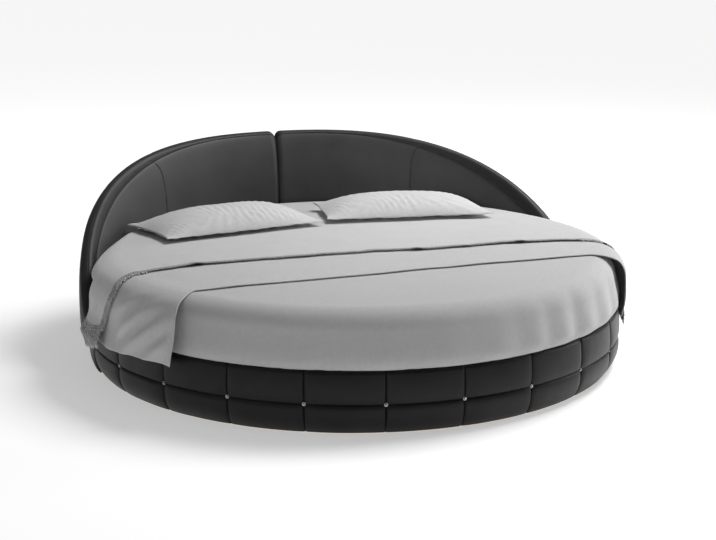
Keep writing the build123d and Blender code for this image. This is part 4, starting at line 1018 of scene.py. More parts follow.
def pillow_flange(rim, rim_ids, seed):
    """Rings of the flat border round a pillow's rim, drawn in at its sides and pointed at its corners."""
    half_length, half_depth = PILLOW_LENGTH / 2, PILLOW_DEPTH / 2
    outer = rim.copy()
    for k, (i, j) in enumerate(rim_ids):
        u = 2 * j / (PILLOW_GRID[1] - 1) - 1
        v = 2 * i / (PILLOW_GRID[0] - 1) - 1
        on_side, on_end = abs(v) == 1, abs(u) == 1
        draw = 0.009 * (1 - abs(u) ** 4) if on_side else 0.016 * (1 - abs(v) ** 3)
        outer[k, 0] = np.sign(u) * (half_length - (0 if on_side else draw)) if on_end else u * half_length
        outer[k, 1] = np.sign(v) * (half_depth - (0 if on_end else draw)) if on_side else v * half_depth
    inner_x = np.abs(rim[:, 0]) / (half_length - PILLOW_BORDER)
    inner_y = np.abs(rim[:, 1]) / (half_depth - PILLOW_BORDER)
    corner = inner_x**6 * inner_y**6
    turn = np.arange(len(rim)) / len(rim) * 2 * pi
    flutter = 0.0012 * np.sin(turn * 17 + seed) + 0.0012 * np.sin(turn * 41 + 2 * seed)
    rings = []
    for share in np.arange(1, 8) / 7:
        ring = rim + (outer - rim) * share
        ring[:, 2] = flutter * share - 0.007 * share**1.2 + 0.004 * corner * share
        rings.append(ring)
    return rings


def pillow_shape(name, center, turn_degrees, seed, pulls):
    """A pillow in a flanged cover: a plump pocket on the sheet, inside a flat border with pointed corners.

    pulls are corners that are drawn out of the square: side and end (-1 or 1), and how far along and deep.
    """
    inner_length, inner_depth = PILLOW_LENGTH - 2 * PILLOW_BORDER, PILLOW_DEPTH - 2 * PILLOW_BORDER
    upper, lower = pillow_pocket(inner_length, inner_depth)
    upper[..., 2] *= PILLOW_HEIGHT - PILLOW_SEAM - 0.004
    lower[..., 2] *= PILLOW_SEAM - 0.001
    x, y = upper[..., 0], upper[..., 1]
    inside = 1 - np.maximum(np.abs(x) / (inner_length / 2), np.abs(y) / (inner_depth / 2))
    upper[..., 2] += pillow_wrinkles(x, y, np.clip(inside, 0, 1), seed)

    rows, columns = PILLOW_GRID
    rim_ids = [(0, j) for j in range(columns)] + [(i, columns - 1) for i in range(1, rows)]
    rim_ids += [(rows - 1, j) for j in range(columns - 2, -1, -1)]
    rim_ids += [(i, 0) for i in range(rows - 2, 0, -1)]
    for i, j in rim_ids:
        upper[i, j, 2] = lower[i, j, 2] = 0.0
    rim = np.array([upper[i, j] for i, j in rim_ids])
    turned = radians(turn_degrees)

    def place(p):
        """Places on the bed of points of the pillow."""
        along, deep = p[..., 0], p[..., 1]
        for side, end, move_along, move_deep in pulls:
            weight = np.clip(0.5 + side * p[..., 0] / PILLOW_LENGTH, 0, 1) ** 3
            weight = weight * np.clip(0.5 + end * p[..., 1] / PILLOW_DEPTH, 0, 1) ** 1.5
            along = along + move_along * weight
            deep = deep + move_deep * weight
        x = along * cos(turned) - deep * sin(turned) + center[0]
        y = along * sin(turned) + deep * cos(turned) + center[1]
        ground = SHEET_TOP + bed_rise(x, y) + 0.002
        return np.stack([x, y, ground + np.maximum(PILLOW_SEAM + p[..., 2], 0.0)], axis=-1)

    # The two faces of the pocket, then the border's rings, each once above and once below
    cloth = np.array([0, 0, PILLOW_CLOTH])
    rim_index = np.array([i * columns + j for i, j in rim_ids])
    top_points = place(upper).reshape(-1, 3)
    low_points = place(lower).reshape(-1, 3)
    top_points[rim_index] += cloth
    low_points[rim_index] -= cloth
    vertices = [*top_points, *low_points]
    faces = grid_faces(rows, columns)
    faces += [tuple(rows * columns + k for k in face[::-1]) for face in faces]
    count = len(rim_ids)
    tops = [rim_index.tolist()]
    lows = [(rows * columns + rim_index).tolist()]
    for ring in pillow_flange(rim, rim_ids, seed):
        placed = place(ring)
        for rings, points in ((tops, placed + cloth), (lows, placed - cloth)):
            rings.append(list(range(len(vertices), len(vertices) + count)))
            vertices += list(points)
    ahead = [(k + 1) % count for k in range(count)]
    for a, b in zip(tops[:-1], tops[1:]):
        faces += [(a[k], b[k], b[n], a[n]) for k, n in enumerate(ahead)]
    for a, b in zip(lows[:-1], lows[1:]):
        faces += [(a[k], a[n], b[n], b[k]) for k, n in enumerate(ahead)]
    faces += [(tops[-1][k], lows[-1][k], lows[-1][n], tops[-1][n]) for k, n in enumerate(ahead)]
    piece = new_object(name, vertices, faces)
    soft = piece.modifiers.new("soften", "SUBSURF")
    soft.levels = soft.render_levels = 1
    made_plain(piece)
    return piece


# Repeated small things, made with Geometry Nodes


def socket_id(tree, name):
    """Identifier of a tree's input socket."""
    return next(s.identifier for s in tree.interface.items_tree if s.name == name and s.in_out == "INPUT")


def new_tree(name, inputs):
    """Geometry node tree with a geometry in and out and named inputs (name, socket type, default)."""
    tree = bpy.data.node_groups.new(name, "GeometryNodeTree")
    tree.interface.new_socket("Path", in_out="INPUT", socket_type="NodeSocketGeometry")
    for label, kind, value in inputs:
        socket = tree.interface.new_socket(label, in_out="INPUT", socket_type=kind)
        if value is not None:
            socket.default_value = value
    tree.interface.new_socket("Made", in_out="OUTPUT", socket_type="NodeSocketGeometry")
    return tree


def set_inputs(node, values):
    """Values of a node's input sockets, by name or number."""
    for label, value in values.items():
        node.inputs[label].default_value = value


def add_node(tree, kind, inputs=None, **settings):
    """Node of a tree with its settings and the values of its input sockets."""
    made = tree.nodes.new(kind)
    for key, value in settings.items():
        setattr(made, key, value)
    set_inputs(made, inputs or {})
    return made


def join_up(tree, *pairs):
    """Link each pair of sockets, output first."""
    for start, end in pairs:
        tree.links.new(start, end)


def end_tree(tree, geometry, source):
    """Last nodes of a geometry tree: Realize Instances, Set Material and the output."""
    realize = add_node(tree, "GeometryNodeRealizeInstances")
    paint = add_node(tree, "GeometryNodeSetMaterial")
    output = add_node(tree, "NodeGroupOutput")
    join_up(
        tree,
        (geometry, realize.inputs[0]),
        (realize.outputs[0], paint.inputs["Geometry"]),
        (source.outputs["Finish"], paint.inputs["Material"]),
        (paint.outputs[0], output.inputs[0]),
    )


def stitch_tree():
    """Stitches along a path: small rods laid end to end with a gap between them."""
    tree = new_tree("stitch_row", [
        ("Spacing", "NodeSocketFloat", 0.006), ("Stitch length", "NodeSocketFloat", 0.004),
        ("Thread radius", "NodeSocketFloat", 0.0005), ("Finish", "NodeSocketMaterial", None),
    ])
    source = add_node(tree, "NodeGroupInput")
    to_curve = add_node(tree, "GeometryNodeMeshToCurve")
    resample = add_node(tree, "GeometryNodeResampleCurve", mode="LENGTH")
    rod = add_node(tree, "GeometryNodeMeshCylinder", {"Vertices": 6}, fill_type="NGON")
    tangent = add_node(tree, "GeometryNodeInputTangent")
    align = add_node(tree, "FunctionNodeAlignEulerToVector", axis="Z")
    instance = add_node(tree, "GeometryNodeInstanceOnPoints")
    join_up(
        tree,
        (source.outputs["Path"], to_curve.inputs[0]),
        (to_curve.outputs[0], resample.inputs["Curve"]),
        (source.outputs["Spacing"], resample.inputs["Length"]),
        (source.outputs["Stitch length"], rod.inputs["Depth"]),
        (source.outputs["Thread radius"], rod.inputs["Radius"]),
        (tangent.outputs[0], align.inputs["Vector"]),
        (resample.outputs[0], instance.inputs["Points"]),
        (rod.outputs["Mesh"], instance.inputs["Instance"]),
        (align.outputs[0], instance.inputs["Rotation"]),
    )
    end_tree(tree, instance.outputs[0], source)
    return tree


def fringe_tree():
    """Short tufts along a path, each hanging roughly the way its point's own direction says."""
    tree = new_tree("fringe_row", [
        ("Tuft length", "NodeSocketFloat", 0.014), ("Tuft radius", "NodeSocketFloat", 0.0022),
        ("Unevenness", "NodeSocketFloat", 0.35), ("Seed", "NodeSocketInt", 5),
        ("Finish", "NodeSocketMaterial", None),
    ])
    tip_share = 0.45
    source = add_node(tree, "NodeGroupInput")
    tuft = add_node(tree, "GeometryNodeMeshCone", {"Vertices": 6, "Side Segments": 2}, fill_type="NGON")
    direction = add_node(
        tree, "GeometryNodeInputNamedAttribute", {"Name": "hang"}, data_type="FLOAT_VECTOR"
    )
    scatter = add_node(
        tree, "FunctionNodeRandomValue", {"Min": (-1, -1, -1), "Max": (1, 1, 1)}, data_type="FLOAT_VECTOR"
    )
    scale = add_node(tree, "ShaderNodeVectorMath", operation="SCALE")
    total = add_node(tree, "ShaderNodeVectorMath", operation="ADD")
    align = add_node(tree, "FunctionNodeAlignEulerToVector", axis="Z")
    instance = add_node(tree, "GeometryNodeInstanceOnPoints")
    tip = add_node(tree, "ShaderNodeMath", {1: tip_share}, operation="MULTIPLY")
    join_up(
        tree,
        (source.outputs["Tuft length"], tuft.inputs["Depth"]),
        (source.outputs["Tuft radius"], tuft.inputs["Radius Bottom"]),
        (source.outputs["Tuft radius"], tip.inputs[0]),
        (tip.outputs[0], tuft.inputs["Radius Top"]),
        (source.outputs["Seed"], scatter.inputs["Seed"]),
        (scatter.outputs[0], scale.inputs[0]),
        (source.outputs["Unevenness"], scale.inputs["Scale"]),
        (direction.outputs["Attribute"], total.inputs[0]),
        (scale.outputs[0], total.inputs[1]),
        (total.outputs[0], align.inputs["Vector"]),
        (source.outputs["Path"], instance.inputs["Points"]),
        (tuft.outputs["Mesh"], instance.inputs["Instance"]),
        (align.outputs[0], instance.inputs["Rotation"]),
    )
    end_tree(tree, instance.outputs[0], source)
    return tree


def stud_tree():
    """Cut-crystal studs in round cups along an arc, facing outwards."""
    tree = new_tree("crystal_studs", [
        ("Count", "NodeSocketInt", 11), ("First angle", "NodeSocketFloat", 0.0),
        ("Step", "NodeSocketFloat", 0.1), ("Circle radius", "NodeSocketFloat", 1.19),
        ("Height", "NodeSocketFloat", 0.125), ("Stud radius", "NodeSocketFloat", 0.008),
        ("Finish", "NodeSocketMaterial", None),
    ])
    cup_depth, girdle_depth, table_depth = 0.005, 0.0028, 0.0016
    girdle_lift, table_lift = 0.0024, 0.0051
    facets = 8
    source = add_node(tree, "NodeGroupInput")
    line = add_node(tree, "GeometryNodeMeshLine", mode="OFFSET")
    index = add_node(tree, "GeometryNodeInputIndex")
    turn = add_node(tree, "ShaderNodeMath", operation="MULTIPLY_ADD")
    cosine = add_node(tree, "ShaderNodeMath", operation="COSINE")
    sine = add_node(tree, "ShaderNodeMath", operation="SINE")
    x = add_node(tree, "ShaderNodeMath", operation="MULTIPLY")
    y = add_node(tree, "ShaderNodeMath", operation="MULTIPLY")
    place = add_node(tree, "ShaderNodeCombineXYZ")
    move = add_node(tree, "GeometryNodeSetPosition")
    facing = add_node(tree, "ShaderNodeCombineXYZ", {1: pi / 2})
    cup = add_node(tree, "GeometryNodeMeshCylinder", {"Vertices": 24, "Depth": cup_depth}, fill_type="NGON")
    girdle, table = (
        add_node(tree, "GeometryNodeMeshCone", {"Vertices": facets, "Depth": depth}, fill_type="NGON")
        for depth in (girdle_depth, table_depth)
    )
    radii = []
    for share in (0.86, 0.62, 0.34):
        part = add_node(tree, "ShaderNodeMath", {1: share}, operation="MULTIPLY")
        tree.links.new(source.outputs["Stud radius"], part.inputs[0])
        radii.append(part.outputs[0])
    lift_girdle = add_node(tree, "GeometryNodeTransform", {"Translation": (0, 0, girdle_lift)})
    lift_table = add_node(
        tree, "GeometryNodeTransform", {"Translation": (0, 0, table_lift), "Rotation": (0, 0, pi / facets)}
    )
    join = add_node(tree, "GeometryNodeJoinGeometry")
    instance = add_node(tree, "GeometryNodeInstanceOnPoints")
    join_up(
        tree,
        (source.outputs["Count"], line.inputs["Count"]),
        (index.outputs[0], turn.inputs[0]),
        (source.outputs["Step"], turn.inputs[1]),
        (source.outputs["First angle"], turn.inputs[2]),
        (turn.outputs[0], cosine.inputs[0]),
        (turn.outputs[0], sine.inputs[0]),
        (cosine.outputs[0], x.inputs[0]),
        (sine.outputs[0], y.inputs[0]),
        (source.outputs["Circle radius"], x.inputs[1]),
        (source.outputs["Circle radius"], y.inputs[1]),
        (x.outputs[0], place.inputs[0]),
        (y.outputs[0], place.inputs[1]),
        (source.outputs["Height"], place.inputs[2]),
        (line.outputs[0], move.inputs["Geometry"]),
        (place.outputs[0], move.inputs["Position"]),
        (turn.outputs[0], facing.inputs[2]),
        (source.outputs["Stud radius"], cup.inputs["Radius"]),
        (radii[0], girdle.inputs["Radius Bottom"]),
        (radii[1], girdle.inputs["Radius Top"]),
        (radii[1], table.inputs["Radius Bottom"]),
        (radii[2], table.inputs["Radius Top"]),
        (girdle.outputs["Mesh"], lift_girdle.inputs["Geometry"]),
        (table.outputs["Mesh"], lift_table.inputs["Geometry"]),
        (cup.outputs["Mesh"], join.inputs[0]),
        (lift_girdle.outputs[0], join.inputs[0]),
        (lift_table.outputs[0], join.inputs[0]),
        (move.outputs[0], instance.inputs["Points"]),
        (join.outputs[0], instance.inputs["Instance"]),
        (facing.outputs[0], instance.inputs["Rotation"]),
    )
    end_tree(tree, instance.outputs[0], source)
    return tree


def grown(name, tree, paths, values, directions=None, smooth=True):
    """Plain mesh of what a geometry tree makes from paths, each a list of places."""
    vertices = []
    edges = []
    for path in paths:
        start = len(vertices)
        vertices += [tuple(map(float, p)) for p in path]
        edges += [(start + k, start + k + 1) for k in range(len(path) - 1)]
    mesh = bpy.data.meshes.new(name + "_path")
    mesh.from_pydata(vertices, edges, [])
    if directions is not None:
        hang = mesh.attributes.new("hang", "FLOAT_VECTOR", "POINT")
        hang.data.foreach_set("vector", np.asarray(directions, np.float32).ravel())
    piece = link(bpy.data.objects.new(name, mesh))
    grower = piece.modifiers.new("grow", "NODES")
    grower.node_group = tree
    for label, value in values.items():
        grower[socket_id(tree, label)] = value
    piece.update_tag()
    made = made_plain(piece)
    made.polygons.foreach_set("use_smooth", [smooth] * len(made.polygons))
    return piece


# Finishes


def shader_group(name, inputs, outputs):
    """Shader node group with named sockets."""
    group = bpy.data.node_groups.new(name, "ShaderNodeTree")
    for label, kind, value in inputs:
        socket = group.interface.new_socket(label, in_out="INPUT", socket_type=kind)
        if value is not None:
            socket.default_value = value
    for label, kind in outputs:
        group.interface.new_socket(label, in_out="OUTPUT", socket_type=kind)
    return group, add_node(group, "NodeGroupInput"), add_node(group, "NodeGroupOutput")


def math_node(tree, operation, a, b=None, c=None):
    """Math node whose inputs are sockets or numbers; returns its output."""
    made = add_node(tree, "ShaderNodeMath", operation=operation)
    for slot_index, value in enumerate((a, b, c)):
        if value is None:
            continue
        if isinstance(value, (int, float)):
            made.inputs[slot_index].default_value = value
        else:
            tree.links.new(value, made.inputs[slot_index])
    return made.outputs[0]


def grain_group():
    """Pebbled grain: cells counted by the metre, broader folds under them and a soft mottle."""
    group, source, output = shader_group(
        "leather_grain",
        [("Place", "NodeSocketVector", None), ("Cells", "NodeSocketFloat", 520.0),
         ("Mottle", "NodeSocketFloat", 5.0)],
        [("Height", "NodeSocketFloat"), ("Tone", "NodeSocketFloat"), ("Wear", "NodeSocketFloat")],
    )
    cells = add_node(group, "ShaderNodeTexVoronoi", feature="F1")
    warp = add_node(group, "ShaderNodeTexNoise", {"Detail": 4})
    mottle = add_node(group, "ShaderNodeTexNoise", {"Detail": 3})
    for made in (cells, warp, mottle):
        group.links.new(source.outputs["Place"], made.inputs["Vector"])
    warp_scale = math_node(group, "MULTIPLY", source.outputs["Cells"], 0.25)
    folds = math_node(group, "MULTIPLY", warp.outputs[0], 0.6)
    height = math_node(group, "ADD", cells.outputs["Distance"], folds)
    join_up(
        group,
        (source.outputs["Cells"], cells.inputs["Scale"]),
        (warp_scale, warp.inputs["Scale"]),
        (source.outputs["Mottle"], mottle.inputs["Scale"]),
        (height, output.inputs["Height"]),
        (mottle.outputs[0], output.inputs["Tone"]),
        (warp.outputs[0], output.inputs["Wear"]),
    )
    return group


def weave_group():
    """Plain weave from places in metres: crossing threads, and slubs that change their height and tone."""
    group, source, output = shader_group(
        "plain_weave",
        [("Place", "NodeSocketVector", None), ("Threads", "NodeSocketFloat", 900.0),
         ("Slub", "NodeSocketFloat", 14.0)],
        [("Height", "NodeSocketFloat"), ("Tone", "NodeSocketFloat")],
    )
    split = add_node(group, "ShaderNodeSeparateXYZ")
    group.links.new(source.outputs["Place"], split.inputs[0])
    turns = math_node(group, "MULTIPLY", source.outputs["Threads"], pi)
    warp, weft = (
        math_node(group, "ABSOLUTE", math_node(group, "SINE", math_node(group, "MULTIPLY", along, turns)))
        for along in split.outputs[:2]
    )
    slub = add_node(group, "ShaderNodeTexNoise", {"Detail": 5})
    threads = math_node(group, "MULTIPLY", math_node(group, "ADD", warp, weft), 0.5)
    height = math_node(group, "MULTIPLY_ADD", slub.outputs[0], 0.7, threads)
    slub_tone = math_node(group, "MULTIPLY", slub.outputs[0], 0.75)
    tone = math_node(group, "MULTIPLY_ADD", threads, 0.25, slub_tone)
    join_up(
        group,
        (source.outputs["Place"], slub.inputs["Vector"]),
        (source.outputs["Slub"], slub.inputs["Scale"]),
        (height, output.inputs["Height"]),
        (tone, output.inputs["Tone"]),
    )
    return group


def wood_group():
    """Sawn wood: rings and fine pores, drawn out along one axis."""
    group, source, output = shader_group(
        "sawn_wood",
        [("Place", "NodeSocketVector", None), ("Rings", "NodeSocketFloat", 26.0),
         ("Pores", "NodeSocketFloat", 380.0)],
        [("Height", "NodeSocketFloat"), ("Tone", "NodeSocketFloat")],
    )
    rings = add_node(
        group, "ShaderNodeTexWave", {"Distortion": 5.0, "Detail": 3.0, "Detail Scale": 1.4},
        wave_type="RINGS", rings_direction="X",
    )
    pores = add_node(group, "ShaderNodeTexNoise", {"Detail": 4})
    stretch = add_node(group, "ShaderNodeVectorMath", {1: (0.06, 1.0, 1.0)}, operation="MULTIPLY")
    pore_tone = math_node(group, "MULTIPLY", pores.outputs[0], 0.4)
    tone = math_node(group, "MULTIPLY_ADD", rings.outputs["Fac"], 0.6, pore_tone)
    ring_height = math_node(group, "MULTIPLY", rings.outputs["Fac"], 0.2)
    height = math_node(group, "MULTIPLY_ADD", pores.outputs[0], 0.8, ring_height)
    join_up(
        group,
        (source.outputs["Place"], stretch.inputs[0]),
        (stretch.outputs[0], rings.inputs["Vector"]),
        (stretch.outputs[0], pores.inputs["Vector"]),
        (source.outputs["Rings"], rings.inputs["Scale"]),
        (source.outputs["Pores"], pores.inputs["Scale"]),
        (height, output.inputs["Height"]),
        (tone, output.inputs["Tone"]),
    )
    return group


def start_finish(name, group, values, place_kind="Object"):
    """Material whose shared group reads its place; returns it, its tree, shader and group node."""
    made = bpy.data.materials.new(name)
    made.use_nodes = True
    tree = made.node_tree
    shader = tree.nodes["Principled BSDF"]
    place = add_node(tree, "ShaderNodeTexCoord")
    effect = add_node(tree, "ShaderNodeGroup")
    effect.node_tree = group
    tree.links.new(place.outputs[place_kind], effect.inputs["Place"])
    set_inputs(effect, values)
    return made, tree, shader, effect


def tint(tree, shader, factor, dark, light, low_stop=0.3, high_stop=0.7):
    """Base colour from a factor through a two-stop ramp."""
    ramp = add_node(tree, "ShaderNodeValToRGB")
    for stop, position, color in zip(ramp.color_ramp.elements, (low_stop, high_stop), (dark, light)):
        stop.position = position
        stop.color = (*color, 1)
    join_up(tree, (factor, ramp.inputs[0]), (ramp.outputs[0], shader.inputs["Base Color"]))


def relief(tree, shader, height, strength, distance):
    """Bump from a height on the shader's normal."""
    bump = add_node(tree, "ShaderNodeBump", {"Strength": strength, "Distance": distance})
    join_up(tree, (height, bump.inputs["Height"]), (bump.outputs[0], shader.inputs["Normal"]))


def spread_roughness(tree, shader, factor, least, most):
    """Roughness that changes over the surface between two values."""
    span = add_node(tree, "ShaderNodeMapRange", {"To Min": least, "To Max": most})
    join_up(tree, (factor, span.inputs["Value"]), (span.outputs[0], shader.inputs["Roughness"]))


def leatherette(name, dark, light, least, most, gloss, painted_shade_keep=1.0):
    """Soft dark leatherette with a fine pebble; parts marked as border get painted shade, their colour scaled
    down to the given share.
    """
    made, tree, shader, effect = start_finish(name, GRAIN, {"Cells": 560.0, "Mottle": 6.0})
    tint(tree, shader, effect.outputs["Tone"], dark, light)
    spread_roughness(tree, shader, effect.outputs["Wear"], least, most)
    relief(tree, shader, effect.outputs["Height"], 0.22, 0.0006)
    if painted_shade_keep < 1.0:
        # Painted shade: the colour is darkened where the border attribute is set (the headboard's crest band
        # and rear pad).
        painted_shade_mask = add_node(tree, "ShaderNodeAttribute", attribute_name="border")
        painted_shade_colour = add_node(tree, "ShaderNodeVectorMath", operation="SCALE")
        painted_shade_loss = math_node(tree, "MULTIPLY", painted_shade_mask.outputs["Fac"], 1.0 - painted_shade_keep)
        kept = math_node(tree, "SUBTRACT", 1.0, painted_shade_loss)
        join_up(
            tree,
            (shader.inputs["Base Color"].links[0].from_socket, painted_shade_colour.inputs[0]),
            (kept, painted_shade_colour.inputs["Scale"]),
            (painted_shade_colour.outputs[0], shader.inputs["Base Color"]),
        )
    set_inputs(shader, {"Specular IOR Level": gloss, "Sheen Weight": 0.04, "Sheen Roughness": 0.4})
    return made


COTTON_NAP = {"Specular IOR Level": 0.2, "Sheen Weight": 0.18, "Sheen Roughness": 0.5}


def cotton(name, dark, light, threads, place_kind, rough, strength=0.25):
    """Woven cotton with slubs and a soft nap."""
    made, tree, shader, effect = start_finish(name, WEAVE, {"Threads": threads, "Slub": 60.0}, place_kind)
    tint(tree, shader, effect.outputs["Tone"], dark, light)
    relief(tree, shader, effect.outputs["Height"], strength, 0.0008)
    set_inputs(shader, {"Roughness": rough, **COTTON_NAP})
    return made


def timber(name, dark, light, rings, rough):
    """Unfinished structural wood."""
    made, tree, shader, effect = start_finish(name, WOOD, {"Rings": rings})
    tint(tree, shader, effect.outputs["Tone"], dark, light, 0.25, 0.8)
    relief(tree, shader, effect.outputs["Height"], 0.3, 0.0006)
    shader.inputs["Roughness"].default_value = rough
    return made


def metal(name, dark, light, least, most, cells, metallic=1.0):
    """Plated or powder-coated steel with a fine spangle."""
    made, tree, shader, effect = start_finish(name, GRAIN, {"Cells": cells, "Mottle": 30.0})
    tint(tree, shader, effect.outputs["Tone"], dark, light)
    spread_roughness(tree, shader, effect.outputs["Wear"], least, most)
    relief(tree, shader, effect.outputs["Height"], 0.12, 0.0002)
    shader.inputs["Metallic"].default_value = metallic
    return made


def trimmed_cotton():
    """The top sheet's cotton with a knotted textured band along its free edges."""
    made, tree, shader, effect = start_finish("sheet_cotton", WEAVE, {"Threads": 800.0, "Slub": 18.0}, "UV")
    place = next(node for node in tree.nodes if node.bl_idname == "ShaderNodeTexCoord")
    band_start, band_end = 0.034, 0.030
    trim = add_node(tree, "ShaderNodeAttribute", attribute_name="trim")
    band = add_node(
        tree, "ShaderNodeMapRange", {"From Min": band_start, "From Max": band_end},
        interpolation_type="SMOOTHSTEP",
    )
    knots = add_node(tree, "ShaderNodeTexVoronoi", {"Scale": 135}, feature="F1")
    join_up(
        tree,
        (trim.outputs["Fac"], band.inputs["Value"]),
        (place.outputs["UV"], knots.inputs["Vector"]),
    )
    knotted = math_node(tree, "MULTIPLY", knots.outputs["Distance"], band.outputs[0])
    knot_height = math_node(tree, "MULTIPLY", knotted, 3.0)
    height = math_node(tree, "MULTIPLY_ADD", effect.outputs["Height"], 0.06, knot_height)
    relief(tree, shader, height, 0.7, 0.0030)
    shade = math_node(tree, "MULTIPLY", knotted, -0.9)
    tone = math_node(tree, "ADD", effect.outputs["Tone"], shade)
    tint(tree, shader, tone, (0.24, 0.24, 0.245), (0.53, 0.53, 0.535), 0.0, 0.42)
    set_inputs(shader, {"Roughness": 0.85, **COTTON_NAP})
    return made


def crystal_finish():
    """Clear cut crystal over a bright foil back."""
    made, tree, shader, effect = start_finish("crystal", GRAIN, {"Cells": 900.0, "Mottle": 160.0})
    tint(tree, shader, effect.outputs["Tone"], (0.20, 0.21, 0.23), (0.48, 0.49, 0.52))
    spread_roughness(tree, shader, effect.outputs["Wear"], 0.03, 0.10)
    set_inputs(shader, {"Metallic": 0.85, "Coat Weight": 1.0, "Coat Roughness": 0.02})
    return made


GRAIN = grain_group()
WEAVE = weave_group()
WOOD = wood_group()

# Each finish: its dark and its light colour, then the values that its kind of finish takes
FINISHES = {
    # The headboard's crest band and rear pad keep 0.45 of this colour: painted shade.
    "leatherette": leatherette(
        "leatherette", (0.047, 0.047, 0.0475), (0.059, 0.059, 0.0595), 0.46, 0.60, 0.26, painted_shade_keep=0.45
    ),
    "base_leatherette": leatherette(
        "base_leatherette", (0.0065, 0.0065, 0.0068), (0.011, 0.011, 0.0113), 0.36, 0.50, 0.22
    ),
    "thread": cotton("thread", (0.012, 0.012, 0.012), (0.03, 0.03, 0.03), 2500.0, "Object", 0.7),
    "crystal": crystal_finish(),
    "sheet_cotton": trimmed_cotton(),
}
for name, dark, light, rings, rough in (
    ("timber", (0.30, 0.19, 0.10), (0.52, 0.36, 0.21), 30.0, 0.7),
    ("plywood", (0.36, 0.24, 0.13), (0.60, 0.44, 0.27), 16.0, 0.62),
    ("slat_wood", (0.42, 0.29, 0.17), (0.66, 0.51, 0.34), 34.0, 0.6),
):
    FINISHES[name] = timber(name, dark, light, rings, rough)
for name, dark, light, least, most, cells, metallic in (
    ("zinc", (0.42, 0.43, 0.45), (0.66, 0.67, 0.69), 0.28, 0.48, 300.0, 1.0),
    ("zinc_plate", (0.38, 0.39, 0.41), (0.60, 0.61, 0.63), 0.32, 0.52, 220.0, 1.0),
    ("black_steel", (0.010, 0.010, 0.011), (0.022, 0.022, 0.023), 0.38, 0.55, 700.0, 0.0),
    ("black_plastic", (0.012, 0.012, 0.012), (0.022, 0.022, 0.022), 0.45, 0.62, 900.0, 0.0),
):
    FINISHES[name] = metal(name, dark, light, least, most, cells, metallic)
for name, dark, light, threads, place_kind, rough, strength in (
    ("ticking", (0.50, 0.49, 0.46), (0.66, 0.65, 0.61), 500.0, "Object", 0.85, 0.25),
    ("duvet_cotton", (0.455, 0.455, 0.46), (0.50, 0.50, 0.505), 800.0, "Object", 0.88, 0.12),
    ("blanket_cotton", (0.47, 0.47, 0.475), (0.53, 0.53, 0.535), 420.0, "UV", 0.9, 0.3),
    ("pillow_cotton", (0.53, 0.53, 0.535), (0.59, 0.59, 0.595), 800.0, "Object", 0.85, 0.2),
):
    FINISHES[name] = cotton(name, dark, light, threads, place_kind, rough, strength)

# Every kept CAD node takes the finish of its slot
slot_of = {part["node"]: part["material_slot"] for part in frame["record"]["subparts"]}
for node, shown in frame["nodes"].items():
    shown.data.materials.clear()
    shown.data.materials.append(FINISHES[slot_of[node]])

# Rail
padding = finish_piece(rail_padding(), "frame", FINISHES["base_leatherette"], "leatherette", "rail_cover")

STUDS = stud_tree()
studs = grown(
    "crystal_buttons",
    STUDS,
    [[(0, 0, 0)]],
    {
        "Count": PANEL_COUNT - 1,
        "First angle": -pi + pi / PANEL_COUNT,
        "Step": pi / PANEL_COUNT,
        "Circle radius": RAIL_VALLEY - 0.0015,
        "Height": RAIL_CHANNEL,
        "Stud radius": 0.0072,
        "Finish": FINISHES["crystal"],
    },
    smooth=False,
)
finish_piece(studs, "frame", FINISHES["crystal"], "crystal", "rail_buttons")

# Headboard
stitch_lines = []
for side, word in ((-1, "left"), (1, "right")):
    cushion, cushion_lines = headboard_cushion(side, "headboard_pad_" + word)
    stitch_lines += cushion_lines
    finish_piece(cushion, "frame", FINISHES["leatherette"], "leatherette", "headboard_cushion_" + word)
    rear = headboard_back(side, "headboard_rear_pad_" + word)
    finish_piece(rear, "frame", FINISHES["leatherette"], "leatherette", "headboard_back_" + word)
    strip = foot_padding(side, "foot_padding_" + word)
    finish_piece(strip, "frame", FINISHES["base_leatherette"], "leatherette", "plinth_pad_" + word)

stitches = grown(
    "headboard_stitches",
    stitch_tree(),
    stitch_lines,
    {"Spacing": 0.0068, "Stitch length": 0.0048, "Thread radius": 0.0006, "Finish": FINISHES["thread"]},
)
finish_piece(stitches, "frame", FINISHES["thread"], "leatherette")

# Bedding
mattress = finish_piece(mattress_shape(), "bedding", FINISHES["ticking"], "ticking", "mattress")
quilt = finish_piece(duvet_shape(), "bedding", FINISHES["duvet_cotton"], "duvet_cotton", "duvet")

blanket, blanket_area, blanket_grid, _ = draped("throw", BLANKET)
finish_piece(blanket, "bedding", FINISHES["blanket_cotton"], "blanket_cotton", "blanket")
sheet, sheet_area, sheet_grid, sheet_last_rows = draped("turned_sheet", TOP_SHEET)
finish_piece(sheet, "bedding", FINISHES["sheet_cotton"], "sheet_cotton", "top_sheet")

tuft_spacing = 0.0065
tufts = [
    tuft_points(sheet_grid, TOP_SHEET["sides"], side, sheet_last_rows[side], tuft_spacing) for side in (-1, 1)
]
fringe = grown(
    "sheet_fringe",
    fringe_tree(),
    [spots for spots, _ in tufts],
    {
        "Tuft length": 0.015,
        "Tuft radius": 0.0026,
        "Unevenness": 0.45,
        "Seed": 5,
        "Finish": FINISHES["sheet_cotton"],
    },
    np.concatenate([turns for _, turns in tufts]),
)
finish_piece(fringe, "bedding", FINISHES["pillow_cotton"], "sheet_cotton")
flat_size(blanket_grid, BLANKET)
flat_size(sheet_grid, TOP_SHEET)

# Pillows
for node, center, turn, seed, pulls in (
    ("pillow_left", (-0.450, 0.508), 9.1, 3.0, ((-1, 1, -0.040, -0.020), (1, -1, 0.010, 0.0))),
    ("pillow_right", (0.443, 0.522), -12.5, 9.0, ((-1, 1, -0.020, 0.008), (1, -1, 0.045, 0.030))),
):
    pillow = pillow_shape(node.replace("pillow", "cushion"), center, turn, seed, pulls)
    finish_piece(pillow, node, FINISHES["pillow_cotton"], "pillow_cotton", node)


# Studio


